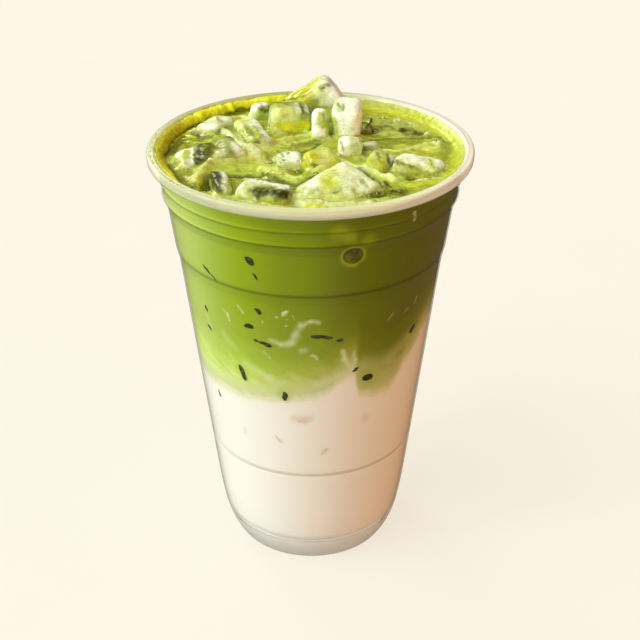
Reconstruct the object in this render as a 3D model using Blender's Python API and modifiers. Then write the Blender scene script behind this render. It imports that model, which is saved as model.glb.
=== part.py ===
"""Iced matcha latte in a clear plastic cup: milk below, matcha above, ice standing out of the top.

The origin is at the centre of the cup's foot, +Z is up, and -Y is the front.
The cup and both layers of the drink are turned about the Z axis. The ice pieces
are separate solids that stand in pockets of the matcha layer.
"""

import math
import random
from collections import namedtuple

import bmesh
import bpy
from mathutils import Matrix, Vector

MM = 0.001

# The cup
RIM_RADIUS = 49.0 * MM
CUP_HEIGHT = 136.4 * MM
RIM_INNER_RADIUS = 46.9 * MM
RIM_CURL_HEIGHT = 3.4 * MM
RIM_EDGE_ROUND = 0.7 * MM
WALL = 0.8 * MM
NECK_RADIUS = 45.6 * MM
NECK_HEIGHT = 132.4 * MM
FLARE_TOP = 123.5 * MM
FLARE_BOTTOM = 120.0 * MM
FLARE_TOP_RADIUS = 44.8 * MM
FLARE_BOTTOM_RADIUS = 43.6 * MM
STEP_TOP = 106.6 * MM
STEP_BOTTOM = 103.1 * MM
STEP_TOP_RADIUS = 41.82 * MM
STEP_BOTTOM_RADIUS = 40.9 * MM
# The wall above the step's foot: heights and outer radii
UPPER_WALL = (
    (STEP_BOTTOM, STEP_BOTTOM_RADIUS),
    (STEP_TOP, STEP_TOP_RADIUS),
    (FLARE_BOTTOM, FLARE_BOTTOM_RADIUS),
    (FLARE_TOP, FLARE_TOP_RADIUS),
    (NECK_HEIGHT, NECK_RADIUS),
)
HEEL_HEIGHT = 24.0 * MM
HEEL_RADIUS = 31.6 * MM
HEEL_DRAW_IN = 1.2 * MM
FOOT_RADIUS = 25.2 * MM
FLOOR_HEIGHT = 9.1 * MM
BEAD_HEIGHTS = (127.9 * MM, FLARE_TOP)
LOW_GROOVE_HEIGHT = 38.4 * MM
BEAD_RELIEF = 0.3 * MM
BEAD_SPAN = 0.9 * MM

# The drink
LEVEL = 133.5 * MM
LAYER_HEIGHT = 70.0 * MM
GAP = 0.3 * MM
TURNS = 52
SURFACE_RINGS = 12
BORDER_RINGS = 3

Rise = namedtuple("Rise", "angle height width")
# Where the milk climbs above or drops below the layer height: degrees round Z, mm, degrees
RISES = (
    Rise(-12.0, 19.0, 17.0),
    Rise(-69.0, 5.0, 6.0),
    Rise(-130.0, -5.0, 14.0),
    Rise(-172.0, 4.0, 16.0),
    Rise(60.0, 6.0, 22.0),
    Rise(120.0, -4.0, 20.0),
)

Ridge = namedtuple("Ridge", "height width points")
# Folds of froth on the matcha, as centre lines in millimetres
RIDGES = (
    Ridge(2.0, 2.6, ((-31.5, -26.0), (-27.5, -17.0), (-19.0, -13.6), (-9.0, -18.6))),
    Ridge(1.6, 2.4, ((14.5, -13.5), (20.0, -20.0), (26.5, -26.0))),
    Ridge(0.9, 2.6, ((-2.0, 6.0), (-8.5, 9.5), (4.0, 2.5))),
    Ridge(0.6, 1.8, ((15.5, 9.5), (26.0, 8.0), (36.0, 11.5))),
)
# The froth is level from here to the wall
CALM_RADIUS = 38.0 * MM
CALM_BAND = 5.0 * MM

Ice = namedtuple("Ice", "name place size turn tilt lean top seed")
# Each ice piece: centre and size in mm, degrees about Z, Y and X, width of its top to its bottom
ICE = (
    Ice("ice_peak", (3.2, 33.0, 133.1), (20.0, 12.6, 20.0), 0, -31, 0, 0.90, 3),
    Ice("ice_back", (-6.6, 20.8, 134.2), (12.6, 9.6, 14.2), 6, 4, 3, 0.92, 5),
    Ice("ice_tooth", (11.3, 16.4, 136.0), (8.0, 9.4, 15.0), -4, 2, 2, 1.08, 8),
    Ice("ice_lobe", (3.0, 14.8, 134.8), (4.8, 8.6, 11.6), 2, -2, 2, 0.92, 10),
    Ice("ice_chip_back", (-16.4, 29.8, 134.2), (6.6, 7.4, 8.0), 20, 18, 0, 0.85, 2),
    Ice("ice_mid_left", (-17.8, 13.6, 132.2), (7.8, 22.0, 9.0), 19, -12, 4, 0.9, 9),
    Ice("ice_far_left", (-30.2, 20.4, 131.6), (8.4, 12.6, 7.8), -38, -6, 5, 0.88, 4),
    Ice("ice_left", (-30.4, -4.4, 131.6), (20.9, 12.0, 9.0), 22, -8, 8, 0.9, 6),
    Ice("ice_front_left", (-12.2, -31.8, 131.6), (16.2, 9.6, 9.4), -20, 2, 6, 0.9, 7),
    Ice("ice_sliver", (-25.3, -26.4, 131.6), (4.4, 13.0, 8.6), 14, 6, 0, 0.88, 1),
    Ice("ice_front", (8.2, -26.6, 127.6), (17.4, 21.4, 16.4), -46, 0, 22, 0.95, 11),
    Ice("ice_amber", (3.6, -8.2, 131.8), (9.6, 10.2, 9.4), 16, -6, 8, 0.88, 12),
    Ice("ice_frosted", (-6.6, -8.6, 131.2), (8.0, 11.0, 7.8), 4, 4, 6, 0.9, 13),
    Ice("ice_green_right", (19.8, -9.6, 131.8), (7.2, 11.4, 8.0), -22, 8, 6, 0.88, 14),
    Ice("ice_right", (31.4, -11.8, 131.9), (15.4, 9.4, 8.4), -14, 5, 6, 0.9, 15),
    Ice("ice_small", (11.8, -1.5, 134.2), (6.4, 6.4, 9.0), 10, 4, 4, 0.9, 16),
    Ice("ice_chip", (18.2, 2.0, 132.4), (4.8, 5.6, 6.6), -18, -8, 0, 0.85, 17),
    Ice("ice_flush", (25.0, 21.2, 130.6), (15.4, 12.0, 6.6), -16, 2, -2, 0.92, 18),
)
ICE_ROUND = 2.0 * MM
ICE_ROUND_SHARE = 0.22
ICE_WANDER = 0.06

# Colour, roughness and alpha of each material
MATERIALS = {
    "clear_plastic": ((0.93, 0.94, 0.90), 0.12, 0.35),
    "milk": ((0.90, 0.84, 0.74), 0.45, 1.0),
    "matcha": ((0.38, 0.42, 0.06), 0.40, 1.0),
    "ice": ((0.86, 0.92, 0.66), 0.10, 0.55),
}


def clear_scene():
    """Remove whatever objects the scene starts with."""
    for old in list(bpy.data.objects):
        bpy.data.objects.remove(old, do_unlink=True)


def make_material(name):
    colour, roughness, alpha = MATERIALS[name]
    material = bpy.data.materials.new(name)
    material.use_nodes = True
    shader = material.node_tree.nodes["Principled BSDF"]
    shader.inputs["Base Color"].default_value = (*colour, 1.0)
    shader.inputs["Roughness"].default_value = roughness
    shader.inputs["Metallic"].default_value = 0.0
    shader.inputs["Alpha"].default_value = alpha
    return material


def mix(a, b, t):
    return a + (b - a) * t


def smooth_step(t):
    t = min(1.0, max(0.0, t))
    return t * t * (3.0 - 2.0 * t)


def bump(distance, width):
    """A rounded hump: 1 at no distance, near 0 past two widths."""
    return math.exp(-((distance / width) ** 2))


def on_chain(z, points):
    """Radius at height z on a chain of (height, radius) points."""
    for (low, first), (high, last) in zip(points, points[1:]):
        if z <= high:
            break
    return mix(first, last, (z - low) / (high - low))


def body_radius(z):
    """Outer radius of the cup's plain wall at height z, below the rim."""
    if z >= STEP_BOTTOM:
        return on_chain(z, UPPER_WALL)
    straight = mix(HEEL_RADIUS, STEP_BOTTOM_RADIUS, (z - HEEL_HEIGHT) / (STEP_BOTTOM - HEEL_HEIGHT))
    if z >= HEEL_HEIGHT:
        return straight
    fall = (HEEL_HEIGHT - z) / HEEL_HEIGHT
    hollow = HEEL_DRAW_IN * fall**2 * (1 - fall**4)
    return straight - (straight - FOOT_RADIUS) * fall**6 - hollow


def wall_radius(z):
    """Outer radius with the two fine beads under the rim and the groove above the heel."""
    radius = body_radius(z)
    for bead in BEAD_HEIGHTS:
        radius += BEAD_RELIEF * bump(z - bead, BEAD_SPAN / 2)
    return radius - BEAD_RELIEF * bump(z - LOW_GROOVE_HEIGHT, BEAD_SPAN / 2)


def bead_levels(centre):
    """Heights that give a bead or a groove its section, top to bottom."""
    return [centre + BEAD_SPAN, centre, centre - BEAD_SPAN]


def outer_levels():
    """Heights of the outer wall's profile points, from the neck down to the foot."""
    levels = [NECK_HEIGHT]
    for bead in BEAD_HEIGHTS:
        levels += bead_levels(bead)
    levels += [FLARE_BOTTOM, STEP_TOP, STEP_BOTTOM]
    levels += bead_levels(LOW_GROOVE_HEIGHT)
    levels += [HEEL_HEIGHT * t for t in (1.0, 0.6, 0.35, 0.2, 0.1, 0.03)]
    return levels


def inner_levels():
    """Heights of the inner wall's profile points, from the heel up to the neck."""
    heel = [HEEL_HEIGHT * t for t in (0.5, 0.7, 1.0)]
    return heel + [z for z, _ in UPPER_WALL]


def cup_profile():
    """Section of the cup: the floor from its centre, up the inside, over the rim, down outside."""
    floor_edge = body_radius(FLOOR_HEIGHT) - WALL
    floor = [
        (0.0, FLOOR_HEIGHT),
        (floor_edge - 2.0 * MM, FLOOR_HEIGHT),
        (floor_edge - 0.3 * MM, FLOOR_HEIGHT + 0.9 * MM),
    ]
    inner = [(body_radius(z) - WALL, z) for z in inner_levels()]
    curl_foot = CUP_HEIGHT - RIM_CURL_HEIGHT
    rim = [
        (RIM_INNER_RADIUS - 1.3 * MM, CUP_HEIGHT - 2.0 * MM),
        (RIM_INNER_RADIUS - 0.5 * MM, CUP_HEIGHT - 0.5 * MM),
        (RIM_INNER_RADIUS, CUP_HEIGHT),
        (RIM_RADIUS - RIM_EDGE_ROUND, CUP_HEIGHT),
        (RIM_RADIUS - 0.3 * RIM_EDGE_ROUND, CUP_HEIGHT - 0.3 * RIM_EDGE_ROUND),
        (RIM_RADIUS, CUP_HEIGHT - RIM_EDGE_ROUND),
        (RIM_RADIUS - 0.3 * MM, curl_foot + 0.4 * MM),
        (RIM_RADIUS - 1.2 * MM, curl_foot),
        (NECK_RADIUS + 1.0 * MM, curl_foot),
    ]
    outer = [(wall_radius(z), z) for z in outer_levels()]
    foot = [(FOOT_RADIUS, 0.0), (FOOT_RADIUS - WALL, 0.0)]
    skirt_levels = [FLOOR_HEIGHT * t for t in (0.1, 0.35, 0.75)]
    skirt = [(body_radius(z) - WALL, z) for z in skirt_levels]
    underside = FLOOR_HEIGHT - WALL
    skirt += [(body_radius(underside) - WALL - 1.2 * MM, underside), (0.0, underside)]
    return floor + inner + rim + outer + foot + skirt


def turned(name, profile, collection, material):
    """An object turned about Z from (radius, height) points that run down its outer side."""
    mesh = bpy.data.meshes.new(name)
    points = [(radius, 0.0, z) for radius, z in profile]
    mesh.from_pydata(points, [(i, i + 1) for i in range(len(points) - 1)], [])
    mesh.materials.append(material)
    obj = bpy.data.objects.new(name, mesh)
    collection.objects.link(obj)
    screw = obj.modifiers.new("turn", "SCREW")
    screw.steps = TURNS
    screw.render_steps = TURNS
    screw.use_merge_vertices = True
    screw.merge_threshold = 0.01 * MM
    screw.use_smooth_shade = True
    return obj


def applied(obj):
    """The object with its modifiers applied to its mesh."""
    graph = bpy.context.evaluated_depsgraph_get()
    mesh = bpy.data.meshes.new_from_object(obj.evaluated_get(graph))
    obj.modifiers.clear()
    obj.data = mesh
    return obj


def turn_between(a, b):
    """Signed angle in degrees from b to a, the short way round."""
    return (a - b + 180.0) % 360.0 - 180.0


def border_lift(x, y):
    """How far the border between milk and matcha stands above the layer height."""
    angle = math.degrees(math.atan2(y, x))
    lift = 1.1 * math.sin(5 * math.radians(angle) + 0.7)
    for rise in RISES:
        lift += rise.height * bump(turn_between(angle, rise.angle), rise.width)
    return lift * MM * min(1.0, math.hypot(x, y) / body_radius(LAYER_HEIGHT)) ** 2


def distance_to_line(x, y, points):
    """Distance in metres from x, y to a chain of points given in millimetres."""
    here = Vector((x, y))
    best = math.inf
    for first, last in zip(points, points[1:]):
        start = Vector(first) * MM
        along = Vector(last) * MM - start
        t = max(0.0, min(1.0, (here - start).dot(along) / along.length_squared))
        best = min(best, (start + along * t - here).length)
    return best


def surface_lift(x, y):
    """Height of the froth's folds over the level of the drink."""
    lift = 0.0
    for ridge in RIDGES:
        away = distance_to_line(x, y, ridge.points)
        lift = max(lift, ridge.height * MM * bump(away, ridge.width * MM))
    return lift * (1.0 - smooth_step((math.hypot(x, y) - CALM_RADIUS) / CALM_BAND))


def drink_radius(z):
    return body_radius(z) - WALL - GAP


def ring_radii(outer, count):
    """Radii of a flat face's rings, from the axis out to its edge."""
    return [outer * k / count for k in range(count + 1)]


def milk_profile():
    floor = FLOOR_HEIGHT + GAP
    corner = drink_radius(floor)
    top = LAYER_HEIGHT - GAP / 2
    points = [(radius, top) for radius in ring_radii(drink_radius(top), BORDER_RINGS)]
    points += [(drink_radius(HEEL_HEIGHT * t), HEEL_HEIGHT * t) for t in (1.0, 0.7, 0.5)]
    points += [(corner - 0.2 * MM, floor + 1.1 * MM), (corner - 2.0 * MM, floor), (0.0, floor)]
    return points


def matcha_profile():
    bottom = LAYER_HEIGHT + GAP / 2
    edge = drink_radius(NECK_HEIGHT) + 0.3 * MM
    points = [(radius, LEVEL) for radius in ring_radii(edge, SURFACE_RINGS)]
    points += [(drink_radius(z), z) for z, _ in reversed(UPPER_WALL)]
    points += [(radius, bottom) for radius in ring_radii(drink_radius(bottom), BORDER_RINGS)[::-1]]
    return points


def at_height(obj, height):
    """The points of a turned solid's flat face at the given height."""
    return [v.co for v in obj.data.vertices if abs(v.co.z - height) < 0.01 * MM]


def raise_border(obj, height):
    """Give a drink solid the uneven border between the layers, kept inside the wall."""
    edge = drink_radius(height) - 0.05 * MM
    for co in at_height(obj, height):
        on_wall = math.hypot(co.x, co.y) > edge
        co.z += border_lift(co.x, co.y)
        if on_wall:
            co.xy *= drink_radius(co.z) / co.xy.length


def raise_surface(obj):
    for co in at_height(obj, LEVEL):
        co.z += surface_lift(co.x, co.y)


def triangulate(obj):
    """Split each four-sided face along its shorter diagonal, so that the two layers' borders agree."""
    bm = bmesh.new()
    bm.from_mesh(obj.data)
    bmesh.ops.triangulate(bm, faces=list(bm.faces), quad_method="SHORT_EDGE")
    bm.to_mesh(obj.data)
    bm.free()


def ice_mesh(spec, grow, material):
    """A block with a narrower top, wandering corners and rounded edges."""
    draw = random.Random(spec.seed)
    size = Vector(spec.size) * MM
    bm = bmesh.new()
    bmesh.ops.create_cube(bm, size=1.0)
    for vertex in bm.verts:
        width = spec.top if vertex.co.z > 0 else 1.0
        wander = Vector([draw.uniform(-ICE_WANDER, ICE_WANDER) for _ in range(3)])
        corner = Vector((vertex.co.x * width, vertex.co.y * width, vertex.co.z)) + wander
        vertex.co = corner * size
    bmesh.ops.bevel(
        bm,
        geom=list(bm.edges),
        offset=min(ICE_ROUND, ICE_ROUND_SHARE * min(size)),
        segments=3,
        profile=0.5,
        affect="EDGES",
        clamp_overlap=True,
    )
    bmesh.ops.triangulate(bm, faces=list(bm.faces))
    bm.normal_update()
    steps = [vertex.normal * grow for vertex in bm.verts]
    for vertex, step in zip(bm.verts, steps):
        vertex.co += step
    mesh = bpy.data.meshes.new(spec.name)
    bm.to_mesh(mesh)
    bm.free()
    mesh.materials.append(material)
    return mesh


def ice_matrix(spec):
    place = Matrix.Translation(Vector(spec.place) * MM)
    about_z = Matrix.Rotation(math.radians(spec.turn), 4, "Z")
    about_y = Matrix.Rotation(math.radians(spec.tilt), 4, "Y")
    about_x = Matrix.Rotation(math.radians(spec.lean), 4, "X")
    return place @ about_x @ about_y @ about_z


def make_ice(spec, parts, material):
    obj = bpy.data.objects.new(spec.name, ice_mesh(spec, 0.0, material))
    obj.matrix_world = ice_matrix(spec)
    parts.objects.link(obj)
    obj.data.shade_smooth()
    obj.data.set_sharp_from_angle(angle=math.radians(40))


def cut_pocket(drink, spec, cutters, material):
    """Cut the matcha round one ice piece, with the gap all round."""
    cutter = bpy.data.objects.new("pocket_" + spec.name, ice_mesh(spec, GAP, material))
    cutter.matrix_world = ice_matrix(spec)
    cutters.objects.link(cutter)
    cutter.hide_render = True
    cutter.display_type = "WIRE"
    cut = drink.modifiers.new("pocket " + spec.name, "BOOLEAN")
    cut.operation = "DIFFERENCE"
    cut.solver = "EXACT"
    cut.object = cutter


def new_collection(name):
    collection = bpy.data.collections.new(name)
    bpy.context.scene.collection.children.link(collection)
    return collection


def main():
    clear_scene()
    parts = new_collection("iced_matcha_latte")
    cutters = new_collection("cutters")
    materials = {name: make_material(name) for name in MATERIALS}

    turned("cup", cup_profile(), parts, materials["clear_plastic"])

    milk = applied(turned("milk", milk_profile(), parts, materials["milk"]))
    raise_border(milk, LAYER_HEIGHT - GAP / 2)
    triangulate(milk)

    matcha = applied(turned("matcha", matcha_profile(), parts, materials["matcha"]))
    raise_border(matcha, LAYER_HEIGHT + GAP / 2)
    raise_surface(matcha)
    triangulate(matcha)

    for spec in ICE:
        make_ice(spec, parts, materials["ice"])
        cut_pocket(matcha, spec, cutters, materials["ice"])


main()
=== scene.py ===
"""The look of an iced matcha latte in a clear plastic cup: milk below, matcha above, ice on top."""

import math
import random
from collections import namedtuple

import bmesh
import bpy
import numpy as np
from mathutils import Matrix, Vector, noise


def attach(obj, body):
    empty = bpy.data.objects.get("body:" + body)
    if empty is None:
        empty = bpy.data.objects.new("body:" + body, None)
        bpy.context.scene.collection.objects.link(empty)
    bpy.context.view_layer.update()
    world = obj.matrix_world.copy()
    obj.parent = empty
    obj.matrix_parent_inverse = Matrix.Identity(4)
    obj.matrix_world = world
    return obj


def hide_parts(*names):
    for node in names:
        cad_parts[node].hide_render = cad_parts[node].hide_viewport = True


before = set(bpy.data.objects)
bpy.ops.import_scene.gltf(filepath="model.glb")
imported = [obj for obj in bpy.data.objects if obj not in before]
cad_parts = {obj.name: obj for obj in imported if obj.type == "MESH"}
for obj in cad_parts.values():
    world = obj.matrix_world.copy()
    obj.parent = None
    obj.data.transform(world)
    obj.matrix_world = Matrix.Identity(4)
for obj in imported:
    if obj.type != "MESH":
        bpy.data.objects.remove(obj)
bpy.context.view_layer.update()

MM = 0.001
BODY = "root"

# The cup, in millimetres, as in the solids
CUP_HEIGHT = 136.4
RIM_RADIUS = 49.0
RIM_INNER_RADIUS = 46.9
WALL = 0.8
NECK_RADIUS = 45.6
NECK_HEIGHT = 132.4
FLARE_TOP = 123.5
FLARE_BOTTOM = 120.0
STEP_TOP = 106.6
STEP_BOTTOM = 103.1
# Heights and outer radii of the wall above the step's foot
UPPER_WALL = (
    (STEP_BOTTOM, 40.9), (STEP_TOP, 41.82), (FLARE_BOTTOM, 43.6), (FLARE_TOP, 44.8),
    (NECK_HEIGHT, NECK_RADIUS),
)
HEEL_HEIGHT = 24.0
HEEL_RADIUS = 31.6
HEEL_DRAW_IN = 1.2
FOOT_RADIUS = 25.2
FLOOR_HEIGHT = 9.1
BEAD_HEIGHTS = (127.9, FLARE_TOP)
LOW_GROOVE_HEIGHT = 38.4
BEAD_RELIEF = 0.3
BEAD_SPAN = 0.9

# The drink reaches this far into the plastic, so that no gap shows between them
REACH = 0.4
LEVEL = 133.5
LAYER_HEIGHT = 70.0

CUP_TURNS = 240
SURFACE_HALF = 104
DRINK_TURNS = 8 * SURFACE_HALF
ICE_VOXEL = 0.36
ICE_DENT = 0.7
# Painted cooler light on the ice's right-facing sides, against the warm lamp there: red, green and blue
ICE_PAINTED_COOL_LIGHT = (0.0, 0.10, 0.42)
DENTS = ((5.5, 0.85), (2.2, 0.34), (1.1, 0.10))
ICE_SWELL = 0.4
SAME_PLANE = 0.97
EDGE_WIDTH = 0.9
CLIMB = 2.6
CLING_WIDTH = 2.2
FRONT_DIP = 1.2
FRONT_DIP_LINE = ((-22.0, -37.0), (-8.0, -41.0), (6.0, -41.0), (17.0, -38.0))
BAND_HEIGHT = 134.7
BAND_HALF_HEIGHT = 1.6
BAND_HALF_DEPTH = 1.3
# The roll of froth at the wall: first and last angle, steps along and round, where its noise is read
BAND_ANGLES = (92.0, 218.0)
BAND_STEPS = 520
BAND_SIDES = 18
BAND_RADIUS = 42.0
BAND_GAP = 0.25
BAND_OUT = 0.45
# Degrees to both sides of the front without clinging froth, and over which the froth then rises
CLEAR_FRONT = 75.0
CLEAR_EASE = 25.0
CLING_NOISE_RADIUS = 43.0
MARK_THICKNESS = 0.22
MARK_WANDER = 0.35
DISC_THICKNESS = 0.30
# Bubbles of the patches stay within this way from the axis
BUBBLE_REACH = 41.5
# Dried froth on the rim: count, middle and spread of the angles, least and largest size
RESIDUE_COUNT = 70
RESIDUE_ANGLES = (182.0, 22.0)
RESIDUE_SIZES = (0.12, 0.45)
# A height above everything, from which the froth is looked up
OVERHEAD = 160.0
WORLD_COLOUR = (1.0, 0.80, 0.78, 1.0)
WORLD_STRENGTH = 0.13
INTERFACE_SHARES = (0.75, 0.5, 0.25)
LAYER_GAP = 0.02
MILK_PLAIN_TOP = 62.0
FLOOR_HALF = 3000.0
# The camera, which stands where the photo's did: place in mm, pitch in degrees
CAMERA_PLACE = (2.871, -362.845, 277.226)
CAMERA_PITCH = 29.0
LENS = 72.45
SENSOR_WIDTH = 36.0
PHOTO_SIZE = 640
CAMERA_CLIP = 0.01
# Ways from the camera, in mm, at which a ray is tested against the wall: first, last, count
RAY_STEPS = (250.0, 560.0, 6201)
# The wall in the photo lies this far inside the built drink's side
SEEN_INSET = 0.27
# The rolled rim's section: steps in from the outer radius and down from the top
RIM_ROLL = (
    (1.75, 0.0), (1.5, 0.1), (1.1, 0.18), (0.75, 0.06), (0.4, 0.1), (0.12, 0.35), (0.0, 0.75),
    (0.03, 1.5), (0.12, 2.4), (0.45, 3.05), (1.1, 3.4), (1.8, 3.35), (2.4, 3.3), (2.9, 3.45), (3.3, 3.9),
)

# Places in the photo are whole pixels of its frame: across, then down.
# The border between milk and matcha, from left to right
BORDER_SEEN = (
    (204, 365), (210, 376), (226, 388), (241, 396), (264, 400), (281, 402), (303, 400),
    (318, 398), (329, 392),     (338, 384), (349, 376), (355, 373), (357, 396), (372, 396), (386, 391),
    (393, 382), (401, 366), (410, 352),     (418, 336), (424, 323),
)
# The border's hidden part, a guess: angle round Z in degrees, height in mm
BORDER_BEHIND = (
    (-12, 84.5), (0, 81.0), (20, 74.0), (36, 70.5), (60, 75.0), (84, 71.0), (108, 66.5), (128, 66.0),
    (150, 69.0), (-172, 67.0),
)
BORDER_SAMPLES = 1440
BORDER_SOFTNESS = 5
HIGH_SOFTNESS = 44


def mix(a, b, t):
    return a + (b - a) * t


def blended(a, b, t):
    return tuple(mix(p, q, t) for p, q in zip(a, b))


# Paints of froth and ice
WHITE = (0.80, 0.82, 0.68)
FROST = (0.60, 0.65, 0.38)
MINT = (0.40, 0.49, 0.20)
PALE = (0.54, 0.58, 0.15)
YELLOW = (0.46, 0.50, 0.030)
LIME = (0.36, 0.42, 0.050)
GOLD = (0.37, 0.35, 0.004)
SUNNY = (0.64, 0.60, 0.02)
MOSS = (0.20, 0.235, 0.014)
GREY = (0.21, 0.23, 0.075)
OLIVE = (0.10, 0.108, 0.006)
DARK = (0.026, 0.030, 0.002)

Fold = namedtuple("Fold", "height width paint share points")
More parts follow.
